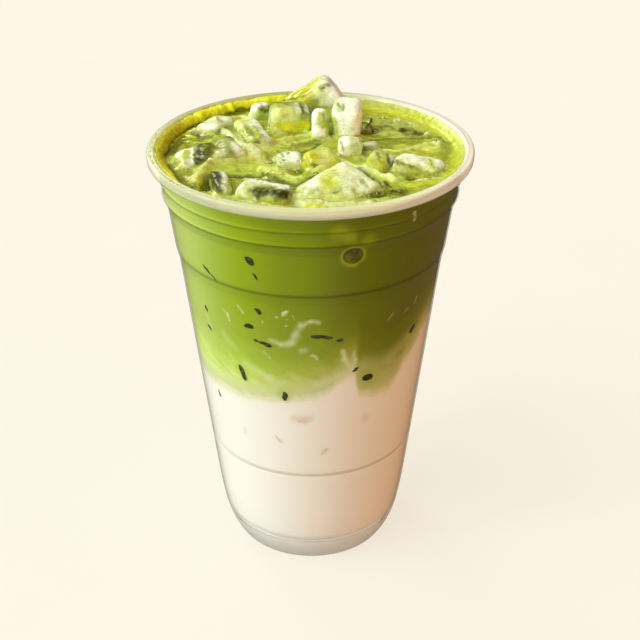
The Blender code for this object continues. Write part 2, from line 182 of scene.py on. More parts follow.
# Folds and streaks of froth, the dark low ones partly darker matcha and partly painted shade: height and
# width in mm, paint, its share, points in mm
FOLDS = (
    # The left part
    Fold(-0.2, 2.6, OLIVE, 0.85, ((-43, 0), (-42, 8), (-39, 14), (-35, 16))),
    Fold(0.7, 0.8, YELLOW, 0.8, ((-42, 18), (-39, 15.5), (-36, 13))),
    Fold(0.5, 1.2, GOLD, 0.8, ((-42.5, 11), (-40, 16), (-37, 18))),
    Fold(0.0, 1.0, OLIVE, 0.8, ((-35.5, 21), (-34, 15), (-34, 10))),
    Fold(0.3, 0.6, YELLOW, 0.9, ((-43, 6), (-42.5, 7.5))),
    Fold(0.3, 0.6, YELLOW, 0.9, ((-39, 12), (-38, 12.5))),
    Fold(0.3, 0.6, YELLOW, 0.9, ((-38.5, 17.5), (-38.5, 19))),
    Fold(0.2, 0.5, YELLOW, 0.8, ((-35, 9), (-34.5, 9.5))),
    Fold(0.0, 1.7, OLIVE, 0.85, ((-42, -11), (-40.5, -17), (-36.5, -22), (-31, -27))),
    Fold(0.0, 0.6, DARK, 0.7, ((-40, -19.5), (-38, -23))),
    Fold(0.0, 0.7, DARK, 0.8, ((-33, -26), (-31, -28))),
    Fold(0.3, 2.2, MOSS, 0.7, ((-37, -14), (-35, -20), (-34, -23))),
    Fold(1.9, 1.8, PALE, 0.9, (
        (-32, -22), (-31, -14.5), (-29, -10.5), (-24, -8.5), (-18.5, -5), (-14, -3.5),
    )),
    Fold(0.3, 1.0, GOLD, 0.7, ((-31.5, -27), (-30.5, -21), (-28, -16.5))),
    Fold(0.9, 2.2, LIME, 0.8, ((-28, -14), (-24, -12.5), (-18, -11.5), (-14, -12.5), (-10, -15))),
    Fold(-1.0, 1.8, OLIVE, 0.95, ((-27, -19), (-28.5, -24), (-29, -27))),
    Fold(-1.0, 1.2, DARK, 0.9, ((-26.5, -20), (-27.5, -26))),
    Fold(-0.7, 1.1, OLIVE, 0.9, ((-25, -17), (-21, -18), (-17, -18.5), (-13.5, -18))),
    Fold(0.0, 0.5, DARK, 0.8, ((-24, -17.5), (-20, -18.5), (-16, -19.5))),
    Fold(-0.5, 0.8, OLIVE, 0.9, ((-17.5, -17), (-12.5, -20), (-6, -26.5), (-2.5, -27))),
    Fold(1.1, 1.3, FROST, 0.8, ((-27.5, 17), (-25, 15), (-22.5, 9), (-20, 3.5), (-16, 0))),
    Fold(0.3, 1.0, PALE, 0.8, ((-28, 30), (-23, 32), (-18, 30), (-13, 27))),
    Fold(0.2, 0.9, OLIVE, 0.8, ((-35, 14.5), (-32, 12.5), (-28.5, 13))),
    Fold(0.5, 1.4, LIME, 0.8, ((-33.5, 17), (-28, 12), (-23, 7))),
    Fold(0.2, 1.4, FROST, 0.6, ((-17.5, 0), (-16, -5))),
    Fold(-0.5, 1.5, OLIVE, 0.95, (
        (-40, 18), (-35.5, 24.5), (-31, 29.5), (-25, 34.5), (-19, 38.5), (-12, 40.5),
    )),
    # The centre
    Fold(0.0, 1.0, OLIVE, 0.8, ((-13, 24), (-12.5, 18))),
    Fold(1.8, 1.7, YELLOW, 0.95, ((-12, 17), (-8, 17.5), (-4, 18.5), (0, 22))),
    Fold(0.3, 0.8, PALE, 0.8, ((-13, 21), (-9.5, 19.5), (-5, 20.5))),
    Fold(0.0, 0.9, GOLD, 0.9, ((-7, 15.5), (-3, 16.5))),
    Fold(0.3, 2.8, blended(LIME, PALE, 0.6), 0.75, ((-14, 3), (-9, 9), (-4.5, 6))),
    Fold(0.9, 0.9, PALE, 0.85, ((-19, 1.5), (-14.5, 4), (-8, 10), (-3, 13), (1, 15))),
    Fold(-0.2, 1.9, OLIVE, 0.7, ((-5.5, 3.5), (-2, 6), (2, 9))),
    Fold(-0.2, 0.6, DARK, 0.7, ((-7.5, 0.5), (-3.5, 0), (0, 2.5), (3, 8))),
    Fold(0.5, 0.6, PALE, 0.8, ((-7, 3), (-3.5, 9), (1, 12))),
    Fold(0.5, 2.0, LIME, 0.8, ((-14, -3.5), (-10.5, -1), (-6, 5))),
    Fold(0.4, 1.6, blended(GOLD, YELLOW, 0.5), 0.95, ((-2, -11.5), (-1.5, -6.5), (0.5, 0))),
    Fold(0.5, 1.8, blended(GOLD, YELLOW, 0.7), 0.95, ((-1, -11), (3, -14), (8, -5), (9.5, -3))),
    Fold(0.4, 1.8, PALE, 0.65, ((-14, -7.5), (-11.5, -14), (-7.5, -18))),
    Fold(1.0, 1.3, LIME, 0.85, ((-11.5, -17.5), (-7.5, -20), (-4, -21.5), (1, -20))),
    Fold(0.5, 0.6, PALE, 0.8, ((-10, -18), (-6, -20.5), (-2, -21.5))),
    Fold(-0.3, 0.8, OLIVE, 0.9, ((-8, -23), (-4, -24.5), (-0.5, -23), (2.5, -18), (6, -14))),
    Fold(-0.2, 0.8, OLIVE, 0.85, ((-13.5, -16.5), (-10, -20.5), (-5.5, -24))),
    Fold(0.3, 2.3, blended(PALE, FROST, 0.5), 0.85, (
        (-4.5, -32), (-2.5, -36), (4, -38), (12, -38), (17, -36),
    )),
    Fold(0.3, 0.8, WHITE, 0.5, ((-18, -20), (-13.5, -19))),
    Fold(0.4, 1.0, YELLOW, 0.9, ((-0.5, -38.5), (4, -39.5))),
    Fold(0.0, 0.9, GOLD, 0.9, ((17, -32.5), (19.5, -28), (23, -25.5))),
    Fold(-0.5, 0.9, DARK, 0.9, ((-11.5, -8.5), (-11, -8.5))),
    Fold(0.2, 0.7, FROST, 0.8, ((-2, -25), (0.5, -22.5))),
    # The right part
    Fold(-0.6, 2.3, DARK, 0.95, ((17.3, 18.0), (17.6, 18.0))),
    Fold(0.0, 2.6, GOLD, 0.85, ((15.5, 38), (22.5, 35), (29.5, 30), (35, 24))),
    Fold(0.2, 2.8, LIME, 0.75, ((35, 26), (40.5, 17), (43, 5.5))),
    Fold(0.4, 1.2, YELLOW, 0.85, (
        (16, 41), (24, 36.5), (33, 29), (39.5, 19), (43.5, 8), (43, -6), (40, -16.5),
    )),
    Fold(-0.2, 0.6, OLIVE, 0.8, ((16, 29.5), (21.5, 29.5), (27, 26))),
    Fold(0.7, 1.4, GREY, 0.8, ((19, 26), (24, 26.5), (29, 23.5))),
    Fold(0.3, 0.5, FROST, 0.8, ((23, 27), (26.5, 26), (29.5, 22.5))),
    Fold(-0.3, 1.5, OLIVE, 0.85, ((16, 18.5), (24, 17.5), (33, 16))),
    Fold(-0.2, 1.3, DARK, 0.85, ((29, 17.5), (34.5, 16.5))),
    Fold(0.4, 0.6, FROST, 0.9, ((35.5, 15.5), (36.5, 17.5))),
    Fold(0.1, 1.9, MOSS, 0.8, ((21, 9.5), (27, 8.5), (33, 10.5))),
    Fold(0.6, 0.9, PALE, 0.85, ((18, 1), (20, 2), (25.5, 1.5), (32, 4), (37, 7.5), (40, 8))),
    Fold(-0.2, 0.7, OLIVE, 0.7, ((15.5, 9.5), (21, 11.5), (26, 11.5), (34, 12.5), (40, 13.5))),
    Fold(0.5, 1.3, PALE, 0.8, ((35, 3), (39, 4))),
    Fold(-0.3, 0.5, DARK, 0.9, ((36.5, 9), (39.5, 9.5), (42, 7.5))),
    Fold(0.3, 0.5, FROST, 0.9, ((38, 7.5), (41, 7))),
    Fold(1.4, 1.3, PALE, 0.95, ((9, -9), (12.5, -11.5), (16.5, -15), (20.5, -18.5), (24, -22))),
    Fold(0.4, 0.5, YELLOW, 0.9, ((12, -13), (16, -17), (18, -20))),
    Fold(-0.5, 0.8, OLIVE, 0.95, ((14, -14.5), (17.5, -19), (19.5, -23), (21, -27))),
    Fold(0.0, 0.6, DARK, 0.9, ((21, -22.5), (23, -26.5))),
    Fold(0.5, 0.6, FROST, 0.8, ((22.5, -20.5), (25.5, -21))),
    Fold(-0.1, 1.8, OLIVE, 0.85, ((18, -31.5), (21.5, -30.5), (26, -29.5))),
    Fold(-0.1, 0.7, DARK, 0.9, ((19, -32.5), (21, -32))),
    Fold(-0.1, 0.5, DARK, 0.8, ((23, -29), (25.5, -29))),
    Fold(0.9, 1.0, YELLOW, 0.9, ((27, -14), (28, -19))),
    Fold(-0.4, 0.8, OLIVE, 0.9, ((23, -6.5), (25, -12), (28.5, -21), (31, -20))),
    Fold(0.7, 1.2, YELLOW, 0.85, ((28, -25), (34, -23), (39.5, -18.5), (42, -9))),
    Fold(0.4, 0.6, FROST, 0.8, ((31, -21), (37.5, -19.5))),
    Fold(0.2, 1.6, MOSS, 0.7, ((38.5, -6), (41, 1), (41.5, 8))),
)

# Colours of the drink
MILK = (0.92, 0.88, 0.80)
# The matcha at the wall by its height over the border, in mm
LAYERS = (
    (-4.0, MILK),
    (-1.0, (0.90, 0.87, 0.76)),
    (0.8, (0.76, 0.77, 0.50)),
    (3.0, (0.60, 0.63, 0.30)),
    (6.0, (0.54, 0.60, 0.23)),
    (9.0, (0.43, 0.49, 0.12)),
    (12.0, (0.34, 0.41, 0.068)),
    (17.0, (0.262, 0.325, 0.034)),
    (24.0, (0.218, 0.268, 0.016)),
    (38.0, (0.200, 0.255, 0.004)),
)
# Painted light and shade: how the matcha at the wall brightens and darkens from left to right: x in mm,
# half the factor
SIDE_PAINTED_LIGHT = (
    (-43.0, (1.00, 1.00, 1.00)),
    (-36.0, (0.92, 0.97, 0.90)),
    (-26.0, (0.76, 0.82, 0.70)),
    (-4.0, (0.54, 0.58, 0.35)),
    (14.0, (0.36, 0.36, 0.10)),
    (32.0, (0.29, 0.28, 0.05)),
    (43.0, (0.29, 0.27, 0.05)),
)
# A pale haze of painted light on the matcha's far left: x in mm, share
PAINTED_LEFT_HAZE = (-46.0, -18.0, 0.42)
# Paint of the pale streaks, and of the painted haze of light on the far left
PALE_STREAK_AND_HAZE = (0.68, 0.72, 0.38)
HALO = (0.34, 0.42, 0.010)
TAN = (0.70, 0.50, 0.36)

# Colours of the milky plastic
RIM_LEFT = (0.94, 0.96, 0.74)
RIM_RIGHT = (0.97, 0.92, 0.86)
RIM_TOP = (0.74, 0.77, 0.44)
# The back of the rim: the froth's olive seen in it, darkened further as painted shade
RIM_BACK = (0.46, 0.46, 0.02)
FOOT_CLOUD = (0.93, 0.92, 0.88)

Stroke = namedtuple("Stroke", "start end width softness strength")
# Pale strokes in the matcha at the wall, the one at (414, 212) a painted highlight: first and last pixel,
# half width and softness in mm, strength
PALE_STROKES = (
    Stroke((224, 309), (228, 313), 0.3, 0.4, 0.55), Stroke((228, 313), (230, 320), 0.35, 0.4, 0.8),
    Stroke((238, 305), (244, 313), 0.28, 0.35, 0.7), Stroke((283, 314), (287, 312), 0.5, 0.45, 1.0),
    Stroke((277, 317), (278, 317), 0.3, 0.3, 0.6), Stroke((287, 319), (287, 319), 0.28, 0.3, 0.7),
    Stroke((262, 321), (263, 322), 0.25, 0.3, 0.6), Stroke((285, 326), (287, 325), 0.3, 0.3, 0.6),
    Stroke((293, 315), (294, 320), 0.15, 0.25, 0.5), Stroke((319, 322), (311, 321), 0.5, 0.7, 0.65),
    Stroke((311, 321), (301, 325), 0.55, 0.7, 0.6), Stroke((301, 325), (296, 335), 0.9, 1.1, 0.45),
    Stroke((296, 335), (291, 343), 1.1, 1.2, 0.5), Stroke((291, 343), (281, 344), 0.8, 1.0, 0.6),
    Stroke((281, 344), (272, 340), 0.7, 0.9, 0.5), Stroke((312, 355), (318, 358), 0.35, 0.4, 0.7),
    Stroke((301, 351), (305, 350), 0.7, 0.8, 0.45), Stroke((265, 352), (271, 358), 0.35, 0.5, 0.4),
    Stroke((343, 351), (344, 359), 0.8, 0.7, 0.8), Stroke((344, 359), (350, 367), 0.8, 0.7, 0.85),
    Stroke((353, 352), (355, 359), 0.5, 0.6, 0.6), Stroke((355, 359), (352, 365), 0.6, 0.6, 0.6),
    Stroke((317, 384), (338, 376), 1.0, 1.2, 0.65), Stroke((338, 376), (352, 369), 0.9, 0.9, 0.7),
    Stroke((388, 319), (392, 313), 0.25, 0.5, 0.35), Stroke((404, 311), (408, 307), 0.25, 0.5, 0.4),
    Stroke((413, 303), (416, 296), 0.25, 0.4, 0.45), Stroke((246, 363), (269, 377), 0.9, 1.4, 0.45),
    Stroke((269, 377), (281, 383), 0.9, 1.3, 0.45), Stroke((224, 332), (235, 347), 0.8, 1.5, 0.3),
    # The first stroke here, high on the right, is a painted highlight
    Stroke((414, 212), (414, 219), 0.4, 0.4, 0.6), Stroke((207, 314), (211, 325), 0.5, 0.8, 0.3),
    Stroke((365, 365), (387, 362), 2.4, 3.2, 0.32), Stroke((391, 355), (407, 336), 1.6, 2.8, 0.28),
)
# The round dark spot high on the wall: middle, radius in mm
DISC_MARK = ((353, 255), 3.0)
# Haloes of paler matcha, which are strokes without a length
HALOES = (
    Stroke((353, 255), (353, 255), 3.7, 0.8, 0.8), Stroke((339, 233), (339, 233), 2.4, 1.6, 0.6),
    Stroke((351, 236), (351, 236), 2.0, 1.3, 0.6), Stroke((369, 240), (369, 240), 2.0, 1.4, 0.45),
    Stroke((243, 370), (243, 370), 1.8, 1.8, 0.4), Stroke((367, 377), (367, 377), 3.2, 2.4, 0.3),
    Stroke((320, 336), (320, 336), 2.4, 2.2, 0.35), Stroke((285, 395), (285, 395), 2.2, 1.4, 0.4),
    Stroke((261, 342), (261, 342), 2.2, 1.2, 0.3),
)
# Tan shadows of ice in the milk
TAN_MARKS = (
    Stroke((294, 418), (309, 418), 1.0, 1.5, 0.5), Stroke((299, 421), (306, 421), 0.7, 0.8, 0.6),
    Stroke((277, 437), (281, 441), 0.45, 0.6, 0.8), Stroke((322, 453), (327, 449), 0.4, 0.55, 0.85),
    Stroke((364, 416), (365, 419), 1.1, 1.2, 0.3), Stroke((245, 428), (246, 432), 0.5, 0.8, 0.35),
)
# Dark marks where sunk ice meets the wall, their darkness painted shade seen through the ice: first and
# last pixel, half width in mm
DARK_MARKS = (
    ((249, 259), (251, 261), 1.25), ((253, 273), (257, 278), 0.4), ((204, 264), (210, 272), 0.4),
    ((211, 273), (217, 280), 0.22), ((206, 305), (208, 310), 0.4), ((209, 324), (212, 329), 0.35),
    ((257, 309), (260, 312), 0.72), ((247, 325), (251, 326), 0.82), ((256, 340), (257, 340), 0.55),
    ((258, 341), (261, 342), 0.2), ((262, 342), (270, 345), 0.75), ((313, 336), (320, 336), 0.75),
    ((320, 336), (330, 337), 0.7), ((338, 340), (341, 339), 0.55), ((410, 330), (413, 325), 0.75),
    ((239, 361), (246, 378), 0.8), ((365, 377), (369, 376), 1.25), ((353, 370), (357, 367), 0.4),
    ((285, 392), (285, 398), 0.8), ((219, 389), (222, 396), 0.3),
)

# Fine lines round the wall: height, half width, strength
RING_LINES = (
    (127.9, 0.45, 0.20), (FLARE_TOP, 0.5, 0.28), (106.4, 0.8, 0.38), (LOW_GROOVE_HEIGHT, 0.45, 0.45),
    (FLOOR_HEIGHT, 0.5, 0.35),
)


def smooth_step(t):
    t = np.clip(t, 0.0, 1.0)
    return t * t * (3.0 - 2.0 * t)


def bump(distance, width):
    return np.exp(-((distance / width) ** 2))


def body_radius(z):
    """Outer radius of the cup's plain wall at height z, below the rim."""
    z = np.asarray(z, float)
    heights, radii = zip(*UPPER_WALL)
    upper = np.interp(z, heights, radii)
    straight = mix(HEEL_RADIUS, radii[0], (z - HEEL_HEIGHT) / (STEP_BOTTOM - HEEL_HEIGHT))
    fall = np.clip((HEEL_HEIGHT - z) / HEEL_HEIGHT, 0.0, 1.0)
    hollow = HEEL_DRAW_IN * fall**2 * (1 - fall**4)
    lower = straight - (straight - FOOT_RADIUS) * fall**6 - hollow
    return np.where(z >= STEP_BOTTOM, upper, lower)


def wall_radius(z):
    radius = body_radius(z)
    for bead in BEAD_HEIGHTS:
        radius = radius + BEAD_RELIEF * bump(z - bead, BEAD_SPAN / 2)
    return radius - BEAD_RELIEF * bump(z - LOW_GROOVE_HEIGHT, BEAD_SPAN / 2)


# Heights and radii of the rim's inner side
RIM_INSIDE = (
    (NECK_HEIGHT, NECK_RADIUS - WALL),
    (CUP_HEIGHT - 2.0, RIM_INNER_RADIUS - 1.3),
    (CUP_HEIGHT - 0.5, RIM_INNER_RADIUS - 0.5),
    (CUP_HEIGHT, RIM_INNER_RADIUS),
)


def rim_inner_radius(z):
    return np.interp(z, [p[0] for p in RIM_INSIDE], [p[1] for p in RIM_INSIDE])


def inner_radius(z):
    """Inner radius of the cup's wall, also where the rim flares."""
    return np.where(np.asarray(z) > NECK_HEIGHT, rim_inner_radius(z), wall_radius(z) - WALL)


def drink_radius(z):
    return inner_radius(z) + REACH


def photo_ray(pixel):
    """Direction in which the camera sees a pixel of the photo."""
    pitch = math.radians(CAMERA_PITCH)
    ahead = np.array((0.0, math.cos(pitch), -math.sin(pitch)))
    up = np.array((0.0, math.sin(pitch), math.cos(pitch)))
    across, down = pixel[0] - PHOTO_SIZE / 2, pixel[1] - PHOTO_SIZE / 2
    ray = ahead * PHOTO_SIZE * LENS / SENSOR_WIDTH - up * down + np.array((across, 0.0, 0.0))
    return ray / np.linalg.norm(ray)


def seen_at(pixel, height):
    """The point under a pixel of the photo at the given height, in millimetres."""
    ray = photo_ray(pixel)
    return CAMERA_PLACE + ray * (height - CAMERA_PLACE[2]) / ray[2]


def seen_on_wall(pixel):
    """Angle in degrees and height in mm of the drink's side under a pixel of the photo."""
    ways = np.linspace(*RAY_STEPS)
    x, y, z = (CAMERA_PLACE + ways[:, None] * photo_ray(pixel)).T
    inside = (np.hypot(x, y) < drink_radius(z) - SEEN_INSET) & (z > 0.0) & (z < NECK_HEIGHT)
    first = np.argmax(inside)
    return math.degrees(math.atan2(y[first], x[first])), float(z[first])


def border_table(softness):
    """The border's height at even steps round the cup, with its corners eased."""
    angles = np.arange(BORDER_SAMPLES) * 360.0 / BORDER_SAMPLES - 180.0
    known = sorted([*BORDER_BEHIND, *map(seen_on_wall, BORDER_SEEN)])
    heights = np.interp(angles, [p[0] for p in known], [p[1] for p in known], period=360.0)
    steps = np.arange(-3 * softness, 3 * softness + 1)
    weights = bump(steps, softness)
    eased = sum(w * np.roll(heights, k) for w, k in zip(weights, steps)) / weights.sum()
    return angles, eased


BORDER_ANGLES, BORDER_LEVELS = border_table(BORDER_SOFTNESS)
HIGH_LEVELS = border_table(HIGH_SOFTNESS)[1]


def border_height(angle):
    return np.interp(angle, BORDER_ANGLES, BORDER_LEVELS, period=360.0)


def over_border(angle, z):
    """Height over the border, which counts with ever less of its corners further up."""
    low = border_height(angle)
    high = np.interp(angle, BORDER_ANGLES, HIGH_LEVELS, period=360.0)
    return z - mix(low, np.maximum(high, low), smooth_step((z - low - 1.0) / 9.0))


def on_wall(pixel):
    """The point of the drink's side under a pixel of the photo, in millimetres."""
    angle, z = seen_on_wall(pixel)
    turn = math.radians(angle)
    radius = float(drink_radius(z))
    return (radius * math.cos(turn), radius * math.sin(turn), z)


# Mesh helpers
def new_object(name, points, faces, material, flat_from=None):
    """An object from points in millimetres. Faces from flat_from on are shaded flat."""
    mesh = bpy.data.meshes.new(name)
    mesh.from_pydata((np.asarray(points, float) * MM).tolist(), [], faces)
    mesh.materials.append(material)
    mesh.shade_smooth()
    if flat_from is not None:
        smooth = np.arange(len(mesh.polygons)) < flat_from
        mesh.polygons.foreach_set("use_smooth", smooth)
    obj = bpy.data.objects.new(name, mesh)
    bpy.context.scene.collection.objects.link(obj)
    return obj


def add_values(obj, name, values):
    """A number for every point, which the material reads by name."""
    attribute = obj.data.attributes.new(name, "FLOAT", "POINT")
    attribute.data.foreach_set("value", np.asarray(values, np.float32))


def add_paint(obj, colours):
    """A colour for every point, which the material reads as paint."""
    attribute = obj.data.attributes.new("paint", "FLOAT_VECTOR", "POINT")
    attribute.data.foreach_set("vector", np.asarray(colours, np.float32).ravel())


def sharpen(obj, ring):
    """Keep the shading of the faces on both sides of a ring of points apart."""
    mesh = obj.data
    ends = np.empty(len(mesh.edges) * 2, np.int32)
    mesh.edges.foreach_get("vertices", ends)
    chosen = np.zeros(len(mesh.vertices), bool)
    chosen[list(ring)] = True
    sharp = chosen[ends].reshape(-1, 2).all(axis=1)
    attribute = mesh.attributes.new("sharp_edge", "BOOLEAN", "EDGE")
    attribute.data.foreach_set("value", sharp)


def ring_faces(count, rows, start=0):
    """Four-sided faces between rows of count points each, closed round."""
    faces = []
    for row in range(rows - 1):
        low = start + row * count
        for k in range(count):
            step = (k + 1) % count
            faces.append((low + k, low + step, low + count + step, low + count + k))
    return faces


def lathe(name, profile, turns, material):
    """A closed turned piece from (radius, z) points; the first and the last lie on the axis."""
    angles = np.arange(turns) * 2 * math.pi / turns
    points = [(0.0, 0.0, profile[0][1])]
    for radius, z in profile[1:-1]:
        points += list(zip(radius * np.cos(angles), radius * np.sin(angles), [z] * turns))
    points.append((0.0, 0.0, profile[-1][1]))
    rows = len(profile) - 2
    last = len(points) - 1
    faces = ring_faces(turns, rows, 1)
    faces += [(0, 1 + (k + 1) % turns, 1 + k) for k in range(turns)]
    top = 1 + (rows - 1) * turns
    faces += [(last, top + k, top + (k + 1) % turns) for k in range(turns)]
    return new_object(name, points, faces, material)


# Materials
class Nodes:
    """Short names for building one material's nodes. Values are numbers or sockets."""

    def __init__(self, name):
        self.material = bpy.data.materials.new(name)
        self.material.use_nodes = True
        self.tree = self.material.node_tree
        self.tree.nodes.clear()
        self.out = self.tree.nodes.new("ShaderNodeOutputMaterial")

    def new(self, kind, **settings):
        node = self.tree.nodes.new("ShaderNode" + kind)
        for key, value in settings.items():
            setattr(node, key, value)
        return node

    def put(self, socket, value):
        if isinstance(value, bpy.types.NodeSocket):
            self.tree.links.new(value, socket)
        elif value is not None:
            if isinstance(value, tuple) and len(value) == 3 and len(socket.default_value) == 4:
                value = (*value, 1.0)
            socket.default_value = value

    def math(self, operation, a, b=None, c=None, clamp=False):
        node = self.new("Math", operation=operation, use_clamp=clamp)
        for socket, value in zip(node.inputs, (a, b, c)):
            self.put(socket, value)
        return node.outputs[0]

    def vector(self, operation, a, b=None, scale=None):
        node = self.new("VectorMath", operation=operation)
        self.put(node.inputs[0], a)
        self.put(node.inputs[1], b)
        if scale is not None:
            self.put(node.inputs["Scale"], scale)
        return node.outputs["Value" if operation in ("LENGTH", "DOT_PRODUCT") else "Vector"]

    def ramp(self, value, low, high, start=0.0, end=1.0):
        """Eases from start to end while value goes from low to high."""
        node = self.new("MapRange", interpolation_type="SMOOTHSTEP")
        names = ("Value", "From Min", "From Max", "To Min", "To Max")
        for key, number in zip(names, (value, low, high, start, end)):
            self.put(node.inputs[key], number)
        return node.outputs[0]

    def colours(self, value, stops):
        """Colour by value from (value, colour) stops."""
        low, high = stops[0][0], stops[-1][0]
        share = self.new("MapRange")
        for key, number in (("Value", value), ("From Min", low), ("From Max", high)):
            self.put(share.inputs[key], number)
        node = self.new("ValToRGB")
        node.color_ramp.interpolation = "EASE"
        elements = node.color_ramp.elements
        while len(elements) < len(stops):
            elements.new(0.5)
        for element, (at, colour) in zip(elements, stops):
            element.position = (at - low) / (high - low)
            element.color = (*colour, 1.0)
        self.put(node.inputs[0], share.outputs[0])
        return node.outputs[0]

    def blend(self, share, a, b):
        node = self.new("Mix", data_type="RGBA")
        self.put(node.inputs[0], share)
        self.put(node.inputs[6], a)
        self.put(node.inputs[7], b)
        return node.outputs[2]

    def place(self):
        """Object coordinates in millimetres."""
        return self.vector("SCALE", self.new("TexCoord").outputs["Object"], scale=1 / MM)

    def noise_node(self, place, size, detail, rough, twist):
        node = self.new("TexNoise")
        self.put(node.inputs["Vector"], place)
        settings = (("Scale", 1 / size), ("Detail", detail), ("Roughness", rough), ("Distortion", twist))
        for key, number in settings:
            self.put(node.inputs[key], number)
        return node

    def noise(self, place, size, detail=3.0, rough=0.5, twist=0.0):
        """Noise with features of the given size in millimetres."""
        return self.noise_node(place, size, detail, rough, twist).outputs["Fac"]

    def warped(self, place, size, reach, detail=2.0):
        """The place moved about by noise, up to about the reach in millimetres."""
        drift = self.noise_node(place, size, detail, 0.5, 0.0).outputs["Color"]
        drift = self.vector("SUBTRACT", drift, (0.5, 0.5, 0.5))
        return self.vector("ADD", self.vector("SCALE", drift, scale=2.0 * reach), place)

    def value_of(self, name):
        return self.new("Attribute", attribute_name=name).outputs["Fac"]

    def colour_of(self, name):
        return self.new("Attribute", attribute_name=name).outputs["Color"]

    def parts_of(self, vector):
        node = self.new("SeparateXYZ")
        self.put(node.inputs[0], vector)
        return node.outputs

    def bumped(self, height, distance, strength=1.0):
        """A normal from heights in millimetres."""
        node = self.new("Bump")
        self.put(node.inputs["Strength"], strength)
        self.put(node.inputs["Distance"], distance * MM)
        self.put(node.inputs["Height"], height)
        return node.outputs[0]

    def facing(self):
        """0 where a surface is seen face on, 1 where it is seen edge on."""
        node = self.new("LayerWeight")
        self.put(node.inputs["Blend"], 0.5)
        return node.outputs["Facing"]

    def mirror_share(self, facing, face_on, edge_on):
        """Share of light that a thin film mirrors."""
        return self.math("MULTIPLY_ADD", self.math("POWER", facing, 5.0), edge_on, face_on)

    def principled(self, **inputs):
        node = self.new("BsdfPrincipled")
        for key, value in inputs.items():
            self.put(node.inputs[key.replace("_", " ")], value)
        return node.outputs[0]

    def shader(self, kind, **inputs):
        node = self.new(kind)
        for key, value in inputs.items():
            self.put(node.inputs[key], value)
        return node.outputs[0]

    def mixed(self, share, a, b):
        node = self.new("MixShader")
        self.put(node.inputs[0], share)
        self.put(node.inputs[1], a)
        self.put(node.inputs[2], b)
        return node.outputs[0]

    def finish(self, shader):
        self.put(self.out.inputs["Surface"], shader)
        return self.material


def capsule(nodes, place, start, end, radius, soft):
    """1 inside a round-ended stroke between two points, easing to 0 over the soft width."""
    start, end = Vector(start), Vector(end)
    along = end - start
    share = nodes.vector("DOT_PRODUCT", nodes.vector("SUBTRACT", place, tuple(start)), tuple(along))
    share = nodes.math("DIVIDE", share, max(along.length_squared, 1e-6), clamp=True)
    nearest = nodes.vector("ADD", nodes.vector("SCALE", tuple(along), scale=share), tuple(start))
    away = nodes.vector("LENGTH", nodes.vector("SUBTRACT", place, nearest))
    return nodes.ramp(away, radius - soft, radius + soft, 1.0, 0.0)


def stroked(nodes, colour, place, stroke, paint):
    """The colour with one stroke of paint over it."""
    start, end = on_wall(stroke.start), on_wall(stroke.end)
    mask = capsule(nodes, place, start, end, stroke.width, stroke.softness)
    return nodes.blend(nodes.math("MULTIPLY", mask, stroke.strength), colour, paint)


def side_colour(nodes, place):
    """The drink's colour at the wall: milk, then a streaky border, then matcha."""
    layer = nodes.value_of("layer")
    turn = nodes.new("VectorRotate", rotation_type="Y_AXIS")
    nodes.put(turn.inputs["Vector"], place)
    nodes.put(turn.inputs["Angle"], math.radians(-28.0))
    streaks = nodes.vector("MULTIPLY", turn.outputs[0], (0.45, 0.6, 1.3))
    drift = nodes.noise(streaks, 4.5, 4.0, 0.55, 0.7)
    fine = nodes.noise(place, 2.2, 3.0, 0.6, 0.8)
    reach = nodes.ramp(layer, -2.0, 10.0, 1.6, 9.0)
    shift = nodes.math("MULTIPLY", nodes.math("SUBTRACT", drift, 0.5), reach)
    shift = nodes.math("ADD", shift, nodes.math("MULTIPLY_ADD", fine, 1.6, -0.8))
    colour = nodes.colours(nodes.math("ADD", layer, shift), LAYERS)
    x = nodes.parts_of(place)["X"]
    # Painted light and shade: the matcha is made paler on the left and darker on the right, by x
    painted_light_factor = nodes.vector("SCALE", nodes.colours(x, SIDE_PAINTED_LIGHT), scale=2.0)
    painted_lit_colour = nodes.vector("MULTIPLY", colour, painted_light_factor)
    colour = nodes.blend(nodes.ramp(layer, 0.0, 14.0), colour, painted_lit_colour)
    left, right, most = PAINTED_LEFT_HAZE
    # The pale haze on the far left is painted light
    film_and_painted_haze = nodes.math("MULTIPLY", nodes.ramp(x, left, right, most, 0.0), nodes.ramp(layer, 2.0, 12.0))
    colour = nodes.blend(film_and_painted_haze, colour, PALE_STREAK_AND_HAZE)
    wavy = nodes.warped(place, 2.2, 0.8)
    for strokes, paint in ((PALE_STROKES, PALE_STREAK_AND_HAZE), (HALOES, HALO), (TAN_MARKS, TAN)):
        for stroke in strokes:
            colour = stroked(nodes, colour, wavy, stroke, paint)
    return colour


def top_colour(nodes, place, speckle):
    """The froth's paint with finer mottling, pale bubbles and dark pores."""
    streak = nodes.noise(nodes.warped(place, 4.0, 1.4), 1.7, 4.0, 0.62, 0.4)
    mottling = nodes.ramp(streak, 0.28, 0.72, 0.80, 1.20)
    colour = nodes.vector("SCALE", nodes.colour_of("paint"), scale=mottling)
    colour = nodes.blend(nodes.ramp(speckle, 0.58, 0.72, 0.0, 0.36), colour, PALE)
    return nodes.blend(nodes.ramp(speckle, 0.40, 0.28, 0.0, 0.42), colour, OLIVE)


def drink_material():
    nodes = Nodes("drink")
    place = nodes.place()
    speckle = nodes.noise(place, 0.8, 4.0, 0.65)
    is_top = nodes.value_of("top")
    colour = nodes.blend(is_top, side_colour(nodes, place), top_colour(nodes, place, speckle))
    ripple = nodes.noise(place, 1.5, 2.0, 0.45)
    height = nodes.math("MULTIPLY", nodes.math("MULTIPLY_ADD", speckle, 0.12, ripple), is_top)
    shader = nodes.principled(
        Base_Color=colour,
        Roughness=0.14,
        IOR=1.34,
        Specular_IOR_Level=nodes.math("MULTIPLY_ADD", is_top, 0.32, 0.05),
        Normal=nodes.bumped(height, 0.45, 0.6),
    )
    return nodes.finish(shader)


